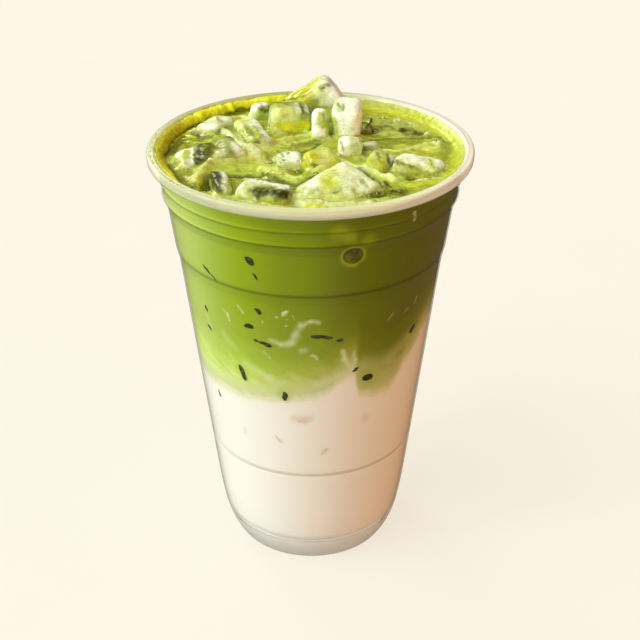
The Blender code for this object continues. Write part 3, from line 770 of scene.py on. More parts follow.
def plastic_material():
    """Thin clear plastic, milky at the rolled rim and round the hollow foot."""
    nodes = Nodes("clear_plastic")
    x, y, z = nodes.parts_of(nodes.place())
    facing = nodes.facing()
    tint = nodes.blend(nodes.math("POWER", facing, 9.0), (0.99, 0.99, 0.98), (0.40, 0.39, 0.33))
    for height, width, depth in RING_LINES:
        away = nodes.math("ABSOLUTE", nodes.math("SUBTRACT", z, height))
        tint = nodes.blend(nodes.ramp(away, width * 0.3, width, depth, 0.0), tint, (0.35, 0.36, 0.20))
    clear = nodes.shader("BsdfTransparent", Color=tint)
    shine = nodes.shader("BsdfGlossy", Roughness=0.2)
    plain = nodes.mixed(nodes.mirror_share(facing, 0.012, 0.22), clear, shine)
    haze = nodes.shader("BsdfDiffuse", Color=(0.95, 0.95, 0.90))
    veil = nodes.math("MULTIPLY_ADD", nodes.math("POWER", facing, 1.4), 0.05, 0.0)
    plain = nodes.mixed(veil, plain, haze)
    hue = nodes.blend(nodes.ramp(x, -49.0, 30.0), RIM_LEFT, RIM_RIGHT)
    front = nodes.ramp(nodes.math("ABSOLUTE", x), 12.0, 40.0, 0.75, 0.15)
    on_top = nodes.math("MULTIPLY", nodes.ramp(z, CUP_HEIGHT - 1.6, CUP_HEIGHT - 0.2), front)
    hue = nodes.blend(on_top, hue, RIM_TOP)
    # At the back the rim takes the froth's olive, darker still as painted shade
    behind = nodes.math("MULTIPLY", nodes.ramp(y, 0.0, 30.0), nodes.ramp(x, 20.0, -10.0))
    hue = nodes.blend(nodes.math("MULTIPLY", behind, 0.85), hue, RIM_BACK)
    hue = nodes.blend(nodes.ramp(z, FLOOR_HEIGHT, NECK_HEIGHT), FOOT_CLOUD, hue)
    cloudy = nodes.principled(Base_Color=hue, Roughness=0.18, IOR=1.45)
    glow = nodes.shader("BsdfTranslucent", Color=hue)
    cloudy = nodes.mixed(0.35, cloudy, glow)
    rim = nodes.math("MULTIPLY", nodes.ramp(z, 132.6, 134.2), nodes.ramp(x, -49.0, 40.0, 0.52, 0.80))
    foot = nodes.ramp(z, FLOOR_HEIGHT - 1.4, FLOOR_HEIGHT + 0.3, 0.72, 0.0)
    return nodes.finish(nodes.mixed(nodes.math("MAXIMUM", rim, foot), plain, cloudy))


# How an ice piece looks: paint, share of clear ice, rounding, paints of facets by direction, marks.
# A mark has a paint, a width in mm and points on the piece as the camera sees it above the froth:
# shares of the way across, from the left, and down, from the top.
# Some white marks, along ridges and tops, are painted highlights
IceLook = namedtuple("IceLook", "base clear rounding facets marks")
Mark = namedtuple("Mark", "paint width points")
LEFT, RIGHT = (-0.8, -0.4, 0.4), (0.8, -0.4, 0.4)
ICE_LOOKS = {
    "ice_peak": IceLook(LIME, 0.05, 3, ((PALE, LEFT), (WHITE, RIGHT)), (
        Mark(PALE, 2.5, ((0.30, 0.40), (0.50, 0.15))),
        Mark(YELLOW, 0.8, ((0.05, 0.42), (0.30, 0.30), (0.52, 0.05))),
        Mark(WHITE, 3.4, ((0.64, 0.08), (0.76, 0.42))),
        Mark(GREY, 1.0, ((0.52, 0.34), (0.60, 0.32))),
        Mark(OLIVE, 0.4, ((0.53, 0.36), (0.57, 0.35))),
        Mark(MOSS, 2.6, ((0.00, 0.66), (0.40, 0.68))),
        Mark(GOLD, 1.4, ((0.00, 0.60), (0.34, 0.60))),
        Mark(GOLD, 1.3, ((0.00, 0.44), (0.18, 0.44), (0.36, 0.42))),
        Mark(OLIVE, 0.4, ((0.00, 0.50), (0.30, 0.52))),
    )),
    "ice_back": IceLook(blended(LIME, GREY, 0.4), 0.06, 5, (), (
        Mark(MOSS, 1.2, ((0.04, 0.02), (0.70, 0.04))),
        Mark(PALE, 2.6, ((0.35, 0.42), (0.45, 0.60))),
        Mark(FROST, 0.8, ((0.66, 0.10), (0.70, 0.40))),
        Mark(GREY, 1.8, ((0.90, 0.15), (0.88, 0.55))),
        Mark(OLIVE, 0.5, ((0.76, 0.14), (0.80, 0.42))),
        Mark(WHITE, 0.6, ((0.88, 0.12), (0.90, 0.36))),
        Mark(GOLD, 1.5, ((0.20, 0.84), (0.60, 0.82), (1.00, 0.70))),
        Mark(SUNNY, 1.4, ((0.30, 0.90), (0.65, 0.84), (1.00, 0.76))),
    )),
    "ice_tooth": IceLook(WHITE, 0.05, 110, (), (
        Mark(MINT, 1.5, ((0.14, 0.14), (0.24, 0.34))),
        Mark(GREY, 0.5, ((0.20, 0.18), (0.26, 0.28))),
        Mark(GREY, 0.35, ((0.38, 0.22), (0.33, 0.36))),
        Mark(LIME, 1.0, ((0.04, 0.55), (0.16, 0.92))),
        Mark(YELLOW, 1.1, ((0.10, 0.99), (0.85, 0.99))),
    )),
    "ice_lobe": IceLook(blended(LIME, FROST, 0.6), 0.05, 60, (), (
        Mark(LIME, 1.2, ((0.56, 0.28), (0.62, 0.60))),
        Mark(MOSS, 0.3, ((0.62, 0.25), (0.70, 0.45))),
        Mark(WHITE, 0.9, ((0.70, 0.04), (0.30, 0.06), (0.08, 0.40), (0.22, 0.72))),
        Mark(WHITE, 1.4, ((0.40, 0.84), (0.80, 0.84))),
        Mark(LIME, 0.8, ((0.95, 0.20), (0.95, 0.80))),
    )),
    "ice_chip_back": IceLook(LIME, 0.05, 30, (), (
        Mark(WHITE, 1.0, ((0.00, 0.56), (0.40, 0.30), (0.95, 0.04))),
        Mark(GREY, 1.1, ((0.50, 0.48), (0.95, 0.34))),
        Mark(OLIVE, 0.5, ((0.55, 0.50), (0.85, 0.46))),
        Mark(LIME, 1.6, ((0.00, 0.86), (0.50, 0.82), (1.00, 0.88))),
    )),
    "ice_mid_left": IceLook(blended(LIME, MOSS, 0.5), 0.05, 2, ((PALE, LEFT),), (
        Mark(MOSS, 2.4, ((0.38, 0.40), (0.60, 0.68))),
        Mark(PALE, 0.9, ((0.15, 0.22), (0.38, 0.05))),
        Mark(DARK, 0.6, ((0.02, 0.34), (0.22, 0.66), (0.40, 0.88))),
        Mark(WHITE, 1.4, ((0.46, 0.02), (0.70, 0.32), (0.96, 0.72))),
        Mark(OLIVE, 0.8, ((0.40, 0.90), (0.66, 0.84))),
        Mark(YELLOW, 0.4, ((0.62, 0.60), (0.64, 0.72))),
    )),
    "ice_far_left": IceLook(blended(LIME, FROST, 0.5), 0.05, 8, (), (
        Mark(FROST, 1.6, ((0.25, 0.40), (0.62, 0.30))),
        Mark(GREY, 0.7, ((0.55, 0.18), (0.66, 0.32))),
        Mark(LIME, 1.3, ((0.05, 0.92), (0.95, 0.95))),
        Mark(WHITE, 0.9, ((0.28, 0.62), (0.55, 0.62))),
        Mark(OLIVE, 0.35, ((0.62, 0.76), (0.68, 0.82))),
    )),
    "ice_left": IceLook(blended(MOSS, OLIVE, 0.2), 0.04, 2, (), (
        Mark(blended(MOSS, GREY, 0.7), 2.0, ((0.62, 0.30), (0.84, 0.42))),
        Mark(blended(LIME, FROST, 0.35), 2.0, ((0.04, 0.66), (0.22, 0.48))),
        Mark(WHITE, 0.6, ((0.06, 0.58), (0.20, 0.36))),
        Mark(FROST, 0.6, ((0.14, 0.84), (0.26, 0.92))),
        Mark(LIME, 0.7, ((0.19, 0.50), (0.20, 0.68))),
        Mark(DARK, 2.5, ((0.42, 0.30), (0.44, 0.64))),
        Mark(DARK, 1.6, ((0.38, 0.66), (0.40, 0.92))),
        Mark(OLIVE, 1.3, ((0.52, 0.26), (0.53, 0.66))),
        Mark(MOSS, 0.4, ((0.42, 0.20), (0.46, 0.34), (0.41, 0.46))),
        Mark(WHITE, 0.4, ((0.26, 0.30), (0.31, 0.85))),
        Mark(WHITE, 1.8, ((0.90, 0.28), (0.98, 0.50))),
    )),
    "ice_front_left": IceLook(blended(LIME, MOSS, 0.4), 0.04, 2, (), (
        Mark(OLIVE, 2.4, ((0.36, 0.62), (0.98, 0.82))),
        Mark(DARK, 1.7, ((0.40, 0.60), (0.66, 0.64), (0.95, 0.80))),
        Mark(DARK, 1.1, ((0.55, 0.94), (0.95, 0.95))),
        Mark(MOSS, 0.5, ((0.55, 0.78), (0.78, 0.86))),
        Mark(WHITE, 0.9, ((0.30, 0.04), (0.60, 0.16), (0.86, 0.36))),
        Mark(blended(FROST, LIME, 0.4), 2.2, ((0.00, 0.35), (0.14, 0.25))),
        Mark(WHITE, 0.7, ((0.02, 0.40), (0.10, 0.26))),
        Mark(FROST, 1.6, ((0.00, 0.66), (0.12, 0.75))),
        Mark(WHITE, 0.8, ((0.24, 0.78), (0.34, 0.86))),
        Mark(FROST, 0.5, ((0.48, 0.90), (0.56, 0.94))),
    )),
    "ice_sliver": IceLook(blended(OLIVE, DARK, 0.4), 0.05, 2, (), (
        Mark(DARK, 2.6, ((0.10, 0.20), (0.24, 0.95))),
        Mark(WHITE, 0.9, ((0.56, 0.02), (0.74, 0.40))),
        Mark(FROST, 0.7, ((0.64, 0.40), (0.72, 0.95))),
        Mark(LIME, 0.8, ((0.88, 0.40), (0.95, 0.95))),
    )),
    "ice_front": IceLook(PALE, 0.05, 3, ((FROST, RIGHT),), (
        Mark(FROST, 3.4, ((0.56, 0.24), (0.62, 0.60))),
        Mark(FROST, 2.4, ((0.72, 0.42), (0.92, 0.78))),
        Mark(WHITE, 1.2, ((0.06, 0.80), (0.30, 0.42), (0.54, 0.06))),
        Mark(YELLOW, 2.2, ((0.36, 0.46), (0.46, 0.70))),
        Mark(LIME, 1.0, ((0.38, 0.54), (0.42, 0.66))),
        Mark(PALE, 1.4, ((0.46, 0.20), (0.42, 0.34))),
        Mark(blended(GREY, FROST, 0.3), 0.9, ((0.25, 0.76), (0.29, 0.79))),
        Mark(blended(GREY, FROST, 0.3), 1.1, ((0.46, 0.76), (0.52, 0.78))),
        Mark(OLIVE, 0.3, ((0.25, 0.79), (0.28, 0.78))),
        Mark(OLIVE, 0.3, ((0.46, 0.79), (0.50, 0.79))),
        Mark(GREY, 0.6, ((0.78, 0.50), (0.83, 0.62))),
        Mark(WHITE, 1.4, ((0.62, 0.90), (0.76, 0.84))),
        Mark(WHITE, 1.6, ((0.10, 0.86), (0.20, 0.84))),
    )),
    "ice_amber": IceLook(GOLD, 0.10, 5, (), (
        Mark(OLIVE, 0.7, ((0.20, 0.75), (0.45, 0.88))),
        Mark(YELLOW, 1.3, ((0.78, 0.40), (0.95, 0.60))),
        Mark(PALE, 1.1, ((0.54, 0.10), (0.62, 0.32))),
        Mark(YELLOW, 1.0, ((0.10, 0.30), (0.30, 0.16))),
    )),
    "ice_frosted": IceLook(MINT, 0.05, 2, (), (
        Mark(WHITE, 2.0, ((0.62, 0.30), (0.90, 0.50))),
        Mark(MINT, 1.0, ((0.20, 0.88), (0.75, 0.90))),
        Mark(OLIVE, 0.3, ((0.15, 0.28), (0.18, 0.34))),
        Mark(OLIVE, 0.3, ((0.30, 0.20), (0.34, 0.30))),
        Mark(OLIVE, 0.3, ((0.45, 0.12), (0.52, 0.14))),
        Mark(OLIVE, 0.3, ((0.18, 0.60), (0.24, 0.62))),
        Mark(OLIVE, 0.3, ((0.32, 0.48), (0.35, 0.55))),
        Mark(OLIVE, 0.3, ((0.08, 0.80), (0.12, 0.86))),
    )),
    "ice_green_right": IceLook(blended(LIME, YELLOW, 0.7), 0.15, 3, (), (
        Mark(YELLOW, 1.6, ((0.15, 0.55), (0.50, 0.62))),
        Mark(PALE, 1.3, ((0.10, 0.28), (0.40, 0.10))),
        Mark(MOSS, 0.5, ((0.42, 0.15), (0.55, 0.60))),
        Mark(OLIVE, 0.6, ((0.76, 0.12), (0.84, 0.80))),
        Mark(WHITE, 0.7, ((0.90, 0.24), (0.94, 0.64))),
    )),
    "ice_right": IceLook(blended(FROST, LIME, 0.4), 0.05, 2, (), (
        Mark(WHITE, 1.0, ((0.02, 0.10), (0.50, 0.06), (0.92, 0.12))),
        Mark(PALE, 1.4, ((0.44, 0.60), (0.70, 0.60))),
        Mark(LIME, 1.7, ((0.08, 0.80), (0.35, 0.95))),
        Mark(MOSS, 0.9, ((0.50, 0.98), (0.82, 0.95))),
        Mark(WHITE, 1.0, ((0.40, 0.30), (0.56, 0.50))),
        Mark(WHITE, 1.3, ((0.88, 0.28), (0.94, 0.74))),
        Mark(GREY, 0.4, ((0.70, 0.35), (0.76, 0.70))),
        Mark(OLIVE, 0.7, ((0.02, 0.35), (0.25, 0.62), (0.50, 0.82))),
    )),
    "ice_small": IceLook(FROST, 0.05, 40, (), (
        Mark(MINT, 1.2, ((0.62, 0.40), (0.66, 0.70))),
        Mark(WHITE, 1.5, ((0.30, 0.12), (0.25, 0.70))),
        Mark(GREY, 0.4, ((0.12, 0.25), (0.14, 0.45), (0.24, 0.68))),
        Mark(YELLOW, 0.8, ((0.20, 1.00), (0.85, 1.00))),
    )),
    "ice_chip": IceLook(blended(LIME, FROST, 0.4), 0.15, 3, (), (
        Mark(OLIVE, 0.5, ((0.08, 0.82), (0.85, 0.92))),
        Mark(FROST, 0.8, ((0.30, 0.18), (0.75, 0.30))),
        Mark(GREY, 0.6, ((0.20, 0.50), (0.60, 0.60))),
    )),
    "ice_flush": IceLook(OLIVE, 0.05, 3, (), (
        Mark(blended(LIME, MOSS, 0.3), 1.4, ((0.10, 0.30), (0.50, 0.24))),
        Mark(GREY, 1.0, ((0.55, 0.20), (0.85, 0.20))),
        Mark(FROST, 0.6, ((0.55, 0.12), (0.82, 0.06))),
        Mark(OLIVE, 1.6, ((0.08, 0.70), (0.70, 0.72))),
        Mark(DARK, 3.0, ((0.66, 0.80), (1.00, 0.80))),
        Mark(DARK, 0.6, ((0.10, 0.92), (0.70, 0.96))),
    )),
}


def ice_material(name, look):
    """Wet cloudy ice with its painted facets and marks, and some of it clear."""
    nodes = Nodes(name)
    place = nodes.place()
    swirl = nodes.noise(nodes.warped(place, 3.0, 1.2), 1.9, 4.0, 0.62)
    grain = nodes.noise(place, 0.6, 3.0, 0.7)
    ripple = nodes.noise(place, 1.6, 3.0, 0.55)
    wet = nodes.bumped(nodes.math("MULTIPLY_ADD", grain, 0.03, ripple), 0.3, 0.5)
    speckle = nodes.noise(nodes.warped(place, 1.5, 0.5), 0.75, 4.0, 0.7)
    mottling = nodes.ramp(swirl, 0.28, 0.70, 0.84, 1.10)
    body = nodes.vector("SCALE", nodes.colour_of("paint"), scale=mottling)
    body = nodes.vector("SCALE", body, scale=nodes.ramp(speckle, 0.56, 0.68, 1.0, 1.22))
    stain = nodes.blend(nodes.ramp(speckle, 0.46, 0.34), (1.0, 1.0, 1.0), (0.70, 0.74, 0.40))
    body = nodes.vector("MULTIPLY", body, stain)
    cloud = nodes.principled(
        Base_Color=body,
        Roughness=0.12,
        IOR=1.31,
        Specular_IOR_Level=0.22,
        Specular_Tint=(1.0, 1.0, 0.70),
        Coat_Weight=0.07,
        Coat_Roughness=0.03,
        Normal=wet,
    )
    glass = nodes.principled(
        Base_Color=blended(look.base, (1.0, 1.0, 0.9), 0.6),
        Roughness=0.04,
        IOR=1.31,
        Transmission_Weight=1.0,
        Normal=wet,
    )
    through = nodes.shader("BsdfTransparent", Color=blended(look.base, (1.0, 1.0, 0.85), 0.75))
    clear = nodes.mixed(nodes.new("LightPath").outputs["Is Shadow Ray"], glass, through)
    share = nodes.math("MULTIPLY", nodes.ramp(swirl, 0.35, 0.65, 0.6, 1.4), look.clear)
    return nodes.finish(nodes.mixed(share, cloud, clear))


# Its near-black colour is painted shade
def dark_material():
    nodes = Nodes("sunk_ice_marks")
    stain = nodes.noise(nodes.place(), 1.1, 2.0)
    colour = nodes.blend(nodes.ramp(stain, 0.4, 0.7), (0.020, 0.024, 0.005), (0.075, 0.09, 0.02))
    return nodes.finish(nodes.principled(Base_Color=colour, Roughness=0.4, Specular_IOR_Level=0.1))


def disc_material():
    nodes = Nodes("wall_bubble_green")
    stain = nodes.noise(nodes.place(), 2.0, 2.0)
    colour = nodes.blend(nodes.ramp(stain, 0.35, 0.65), (0.070, 0.080, 0.004), (0.15, 0.17, 0.01))
    return nodes.finish(nodes.principled(Base_Color=colour, Roughness=0.4, Specular_IOR_Level=0.1))


def bubble_material():
    nodes = Nodes("bubble_film")
    facing = nodes.facing()
    tint = nodes.blend(nodes.math("POWER", facing, 2.0), (0.88, 0.90, 0.55), (0.08, 0.09, 0.005))
    clear = nodes.shader("BsdfTransparent", Color=tint)
    shine = nodes.shader("BsdfGlossy", Roughness=0.04)
    return nodes.finish(nodes.mixed(nodes.mirror_share(facing, 0.06, 0.7), clear, shine))


def froth_material():
    nodes = Nodes("wall_froth")
    place = nodes.place()
    grain = nodes.noise(place, 0.9, 4.0, 0.65)
    patch = nodes.noise(place, 3.0, 3.0)
    colour = nodes.blend(nodes.ramp(patch, 0.35, 0.65), (0.56, 0.58, 0.008), (0.74, 0.76, 0.020))
    colour = nodes.blend(nodes.ramp(grain, 0.55, 0.75), colour, (0.82, 0.84, 0.12))
    # Painted shade: the roll darkens towards the far left
    left = nodes.ramp(nodes.parts_of(place)["X"], -36.0, -44.0, 0.0, 0.8)
    colour = nodes.blend(left, colour, (0.30, 0.27, 0.004))
    return nodes.finish(
        nodes.principled(Base_Color=colour, Roughness=0.3, IOR=1.34, Normal=nodes.bumped(grain, 0.3, 0.6))
    )


# Ice
def node_planes(name):
    """Outward normals and offsets, in millimetres, of a CAD ice block's different faces."""
    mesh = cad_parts[name].data
    planes = []
    for face in sorted(mesh.polygons, key=lambda f: -f.area):
        offset = face.normal.dot(face.center) / MM
        known = any(face.normal.dot(n) > SAME_PLANE and abs(offset - o) < 1.0 for n, o in planes)
        if face.area > 1e-9 and not known:
            planes.append((face.normal.copy(), offset))
    return np.array([tuple(n) for n, _ in planes]), np.array([o for _, o in planes])


def remeshed(name, rounding):
    """A fine even mesh of a CAD ice block with eased edges, as a new object."""
    source = bmesh.new()
    source.from_mesh(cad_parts[name].data)
    bmesh.ops.remove_doubles(source, verts=source.verts, dist=0.002 * MM)
    mesh = bpy.data.meshes.new(name + "_melt")
    source.to_mesh(mesh)
    source.free()
    obj = bpy.data.objects.new(name + "_melt", mesh)
    bpy.context.scene.collection.objects.link(obj)
    remesh = obj.modifiers.new("remesh", "REMESH")
    remesh.mode = "VOXEL"
    remesh.voxel_size = ICE_VOXEL * MM
    remesh.use_smooth_shade = True
    soften = obj.modifiers.new("soften", "SMOOTH")
    soften.iterations = rounding
    soften.factor = 0.5
    graph = bpy.context.evaluated_depsgraph_get()
    melted = bpy.data.meshes.new_from_object(obj.evaluated_get(graph))
    obj.modifiers.clear()
    obj.data = melted
    return obj


def view_shares(spots):
    """Ways across and down of points as the camera sees them, in mm; the part above the froth is from 0."""
    pitch = math.radians(CAMERA_PITCH)
    across = spots[:, 0]
    down = -spots[:, 2] * math.cos(pitch) - spots[:, 1] * math.sin(pitch)
    seen = spots[:, 2] > LEVEL
    wide, tall = np.ptp(across[seen]), np.ptp(down[seen])
    return across - across[seen].min(), down - down[seen].min(), wide, tall


def brushed(colours, paint, share):
    return mix(colours, np.array(paint), share[:, None])


def ice_paint(spots, normals, edges, look):
    """Colours of an ice piece's points; edges is 1 at its edges and falls to 0 inwards."""
    rows = (spots[:, 0], spots[:, 1], spots[:, 2])
    colours = np.tile(np.array(look.base), (len(spots), 1))
    for paint, towards in look.facets:
        colours = brushed(colours, paint, 0.9 * smooth_step((normals @ np.array(towards) - 0.35) / 0.35))
    deep = look.base[1] < 0.2 or look.base == GOLD
    # Whitening along the edges is a painted highlight
    painted_edge_highlight = np.clip(0.5 + 0.9 * noise_field(*rows, 4.0, 2), 0.0, 1.0) * (0.25 if deep else 0.55)
    colours = brushed(colours, WHITE, painted_edge_highlight * smooth_step((edges - 0.42) / 0.40))
    film_and_painted_haze = 0.15 if deep or look.base == WHITE else 0.5
    patches = smooth_step(0.35 + 1.5 * noise_field(*(row + 40.0 for row in rows), 5.0, 2))
    colours = brushed(colours, blended(LIME, PALE, 0.4), film_and_painted_haze * patches)
    across, down, wide, tall = view_shares(spots)
    across = across + 0.55 * noise_field(*rows, 1.9, 2)
    down = down + 0.55 * noise_field(*(row + 20.0 for row in rows), 1.9, 2)
    broken = np.clip(0.92 + 0.5 * noise_field(*(row + 60.0 for row in rows), 1.1, 2), 0.45, 1.0)
    for mark in look.marks:
        points = [(u * wide, v * tall) for u, v in mark.points]
        away = distance_to_chain(across, down, points)
        cover = smooth_step((1.6 - away / mark.width) / 1.2)
        colours = brushed(colours, mark.paint, 0.93 * cover * broken)
    # Painted light and shade by facing: sides lighter than tops, left-facing sides lighter than
    # right-facing
    painted_facing_light = 1.30 - 0.28 * np.clip(normals[:, 2], 0.0, 1.0) - 0.06 * normals[:, 0]
    # Painted light: right-facing sides are tinted cooler, against the warm lamp on that side
    painted_cool_light = 1.0 + np.clip(normals[:, 0], 0.0, 1.0)[:, None] * np.array(ICE_PAINTED_COOL_LIGHT)
    colours = np.minimum(colours * painted_facing_light[:, None] * painted_cool_light, 0.96)
    reach = 0.6 if look.base == WHITE else 1.15
    climb_height = reach * (1.0 + 1.3 * noise_field(*rows, 3.0, 2))
    coat = 0.85 * smooth_step((LEVEL + climb_height - spots[:, 2]) / (0.6 + 0.8 * reach) + 0.5)
    colours = brushed(colours, blended(LIME, PALE, 0.25), coat)
    return brushed(colours, MOSS, 0.4 * smooth_step((LEVEL + 0.3 - spots[:, 2]) / 0.8))


def make_ice(name, look, seed):
    """A melting ice block: flat faces with shallow dents, ripples and soft edges."""
    obj = remeshed(name, look.rounding)
    melted = obj.data
    offset = Vector((seed * 3.1, seed * 1.7, seed * 2.3))
    normals = [v.normal.copy() for v in melted.vertices]
    for vertex, normal in zip(melted.vertices, normals):
        spot = vertex.co / MM
        dent = sum(noise.noise(spot / size + offset) * depth for size, depth in DENTS)
        vertex.co += normal * (dent * ICE_DENT + ICE_SWELL) * MM
    melted.shade_smooth()
    plane_normals, offsets = node_planes(name)
    spots = np.array([tuple(v.co / MM) for v in melted.vertices])
    depths = np.sort(spots @ plane_normals.T - offsets, axis=1)
    edges = np.exp(np.minimum(depths[:, -2], 0.0) / EDGE_WIDTH)
    add_paint(obj, ice_paint(spots, np.array([tuple(n) for n in normals]), edges, look))
    melted.materials.clear()
    melted.materials.append(ice_material(name + "_wet", look))
    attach(obj, BODY)
    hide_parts(name)
    return obj


# The drink
def rim_of_grid(half):
    """Indices of a square grid's outer points, in order round it, anticlockwise."""
    n = 2 * half + 1
    right = [(2 * half) + j * n for j in range(n)]
    top = [i + (n - 1) * n for i in range(n - 2, -1, -1)]
    left = [j * n for j in range(n - 2, -1, -1)]
    bottom = list(range(1, n - 1))
    return right + top + left + bottom


def disc_grid(half):
    """Points of a square grid mapped evenly to a disc of radius 1, and its four-sided faces."""
    n = 2 * half + 1
    line = np.linspace(-1.0, 1.0, n)
    a, b = np.meshgrid(line, line)
    safe_a = np.where(a == 0, 1e-9, a)
    safe_b = np.where(b == 0, 1e-9, b)
    wide = np.abs(a) > np.abs(b)
    radius = np.where(wide, a, b)
    turn = np.where(wide, math.pi / 4 * b / safe_a, math.pi / 2 - math.pi / 4 * a / safe_b)
    x = (radius * np.cos(turn)).ravel()
    y = (radius * np.sin(turn)).ravel()
    faces = []
    for j in range(n - 1):
        for i in range(n - 1):
            low = j * n + i
            faces.append((low, low + 1, low + n + 1, low + n))
    return x, y, faces


def distance_to_chain(x, y, points):
    best = np.full(x.shape, np.inf)
    for (x1, y1), (x2, y2) in zip(points, points[1:]):
        dx, dy = x2 - x1, y2 - y1
        t = np.clip(((x - x1) * dx + (y - y1) * dy) / (dx * dx + dy * dy), 0.0, 1.0)
        best = np.minimum(best, np.hypot(x - x1 - t * dx, y - y1 - t * dy))
    return best


def noise_field(x, y, z, size, octaves=1):
    """Noise at many points, features of the given size in millimetres."""
    values = np.zeros(len(x))
    strength = 1.0
    for octave in range(octaves):
        scale = 2.0**octave / size
        shift = 7.3 * (octave + 1)
        rows = zip(x * scale + shift, y * scale, z * scale)
        values += strength * np.array([noise.noise(row) for row in rows])
        strength *= 0.5
    return values


def angle_gap(a, b):
    """Difference of two angles in degrees, from -180 to 180."""
    return (a - b + 180.0) % 360.0 - 180.0


def climb(angle):
    """How high the froth clings to the inner wall above the level, by angle in degrees."""
    front = smooth_step((CLEAR_FRONT - np.abs(angle_gap(angle, -90.0))) / CLEAR_EASE)
    return CLIMB * (1.0 - front)


def sink_to_ice(x, y, z):
    """Lowers the surface to the ice's underside; also gives the hollow's depth and the way to the ice."""
    depth = np.zeros(len(x))
    near = np.full(len(x), 99.0)
    for name in ICE_LOOKS:
        normals, offsets = node_planes(name)
        at_level = np.stack([x, y, np.full(len(x), LEVEL + 0.4)])
        near = np.minimum(near, (normals @ at_level - offsets[:, None]).max(axis=0))
        side = np.abs(normals[:, 2]) < 0.6
        inset = offsets - np.where(side, 0.6, 0.25)
        flat = normals[:, :2] @ np.stack([x, y])
        below = normals[:, 2] < -0.02
        above = normals[:, 2] > 0.02
        upright = ~below & ~above
        low = ((inset[below, None] - flat[below]) / normals[below, 2][:, None]).max(axis=0)
        high = ((inset[above, None] - flat[above]) / normals[above, 2][:, None]).min(axis=0)
        inside = (low < high) & (high > LEVEL - 0.6) & (low < z - 0.2)
        if upright.any():
            inside &= (flat[upright] - inset[upright, None]).max(axis=0) < 0
        depth = np.where(inside, z - low, depth)
        z = np.where(inside, low, z)
    return z, depth, near


def froth_surface(x, y, radius):
    """Height and colours of the froth over the drink's disc."""
    flat = np.zeros(len(x))
    swell = noise_field(x, y, flat, 9.0, 3)
    lumps = noise_field(x, y, flat + 3.0, 3.4, 2)
    fine = noise_field(x, y, flat + 5.0, 1.4, 2)
    calm = 1.0 - smooth_step((radius - 39.5) / 3.5)
    z = LEVEL + (0.36 * swell + 0.34 * lumps) * calm + 0.12 * fine
    colours = np.tile(np.array(blended(MOSS, LIME, 0.7)), (len(x), 1))
    # Lighter on the swells and darker in the hollows: partly froth over denser matcha, partly painted shade
    colours = brushed(colours, LIME, smooth_step(0.2 + 1.2 * swell + 0.8 * lumps))
    colours = brushed(colours, MOSS, smooth_step(-0.1 - 1.4 * swell - 0.9 * lumps))
    colours = brushed(colours, GOLD, 0.45 * smooth_step(noise_field(x, y, flat + 17.0, 8.0, 2) * 1.6))
    warp_x = x + 0.7 * noise_field(x, y, flat + 13.0, 3.5, 2)
    warp_y = y + 0.7 * noise_field(x, y, flat + 11.0, 3.5, 2)
    for fold in FOLDS:
        away = distance_to_chain(warp_x, warp_y, fold.points)
        z += fold.height * bump(away, fold.width) * calm
        colours = brushed(colours, fold.paint, fold.share * smooth_step((1.5 - away / fold.width) / 0.9))
    z -= FRONT_DIP * bump(distance_to_chain(x, y, FRONT_DIP_LINE), 5.0)
    z, depth, near = sink_to_ice(x, y, z)
    rise = np.where((depth == 0) & (near > -0.6), np.exp(-np.clip(near, 0.0, 9.0) / 1.0), 0.0)
    pale = smooth_step(0.55 + 1.7 * noise_field(x, y, flat + 21.0, 5.0, 2))
    z += rise * mix(0.4, 1.1, pale)
    # Painted shadow: olive round the foot of each ice piece where no pale film rises
    colours = brushed(colours, OLIVE, 0.40 * rise * (1.0 - pale))
    colours = brushed(colours, blended(PALE, FROST, 0.35), 0.75 * rise * pale)
    # Painted shade: the hollows under the ice are darkened with their depth
    return z, brushed(colours, OLIVE, np.clip(depth / 3.0, 0.0, 0.5))


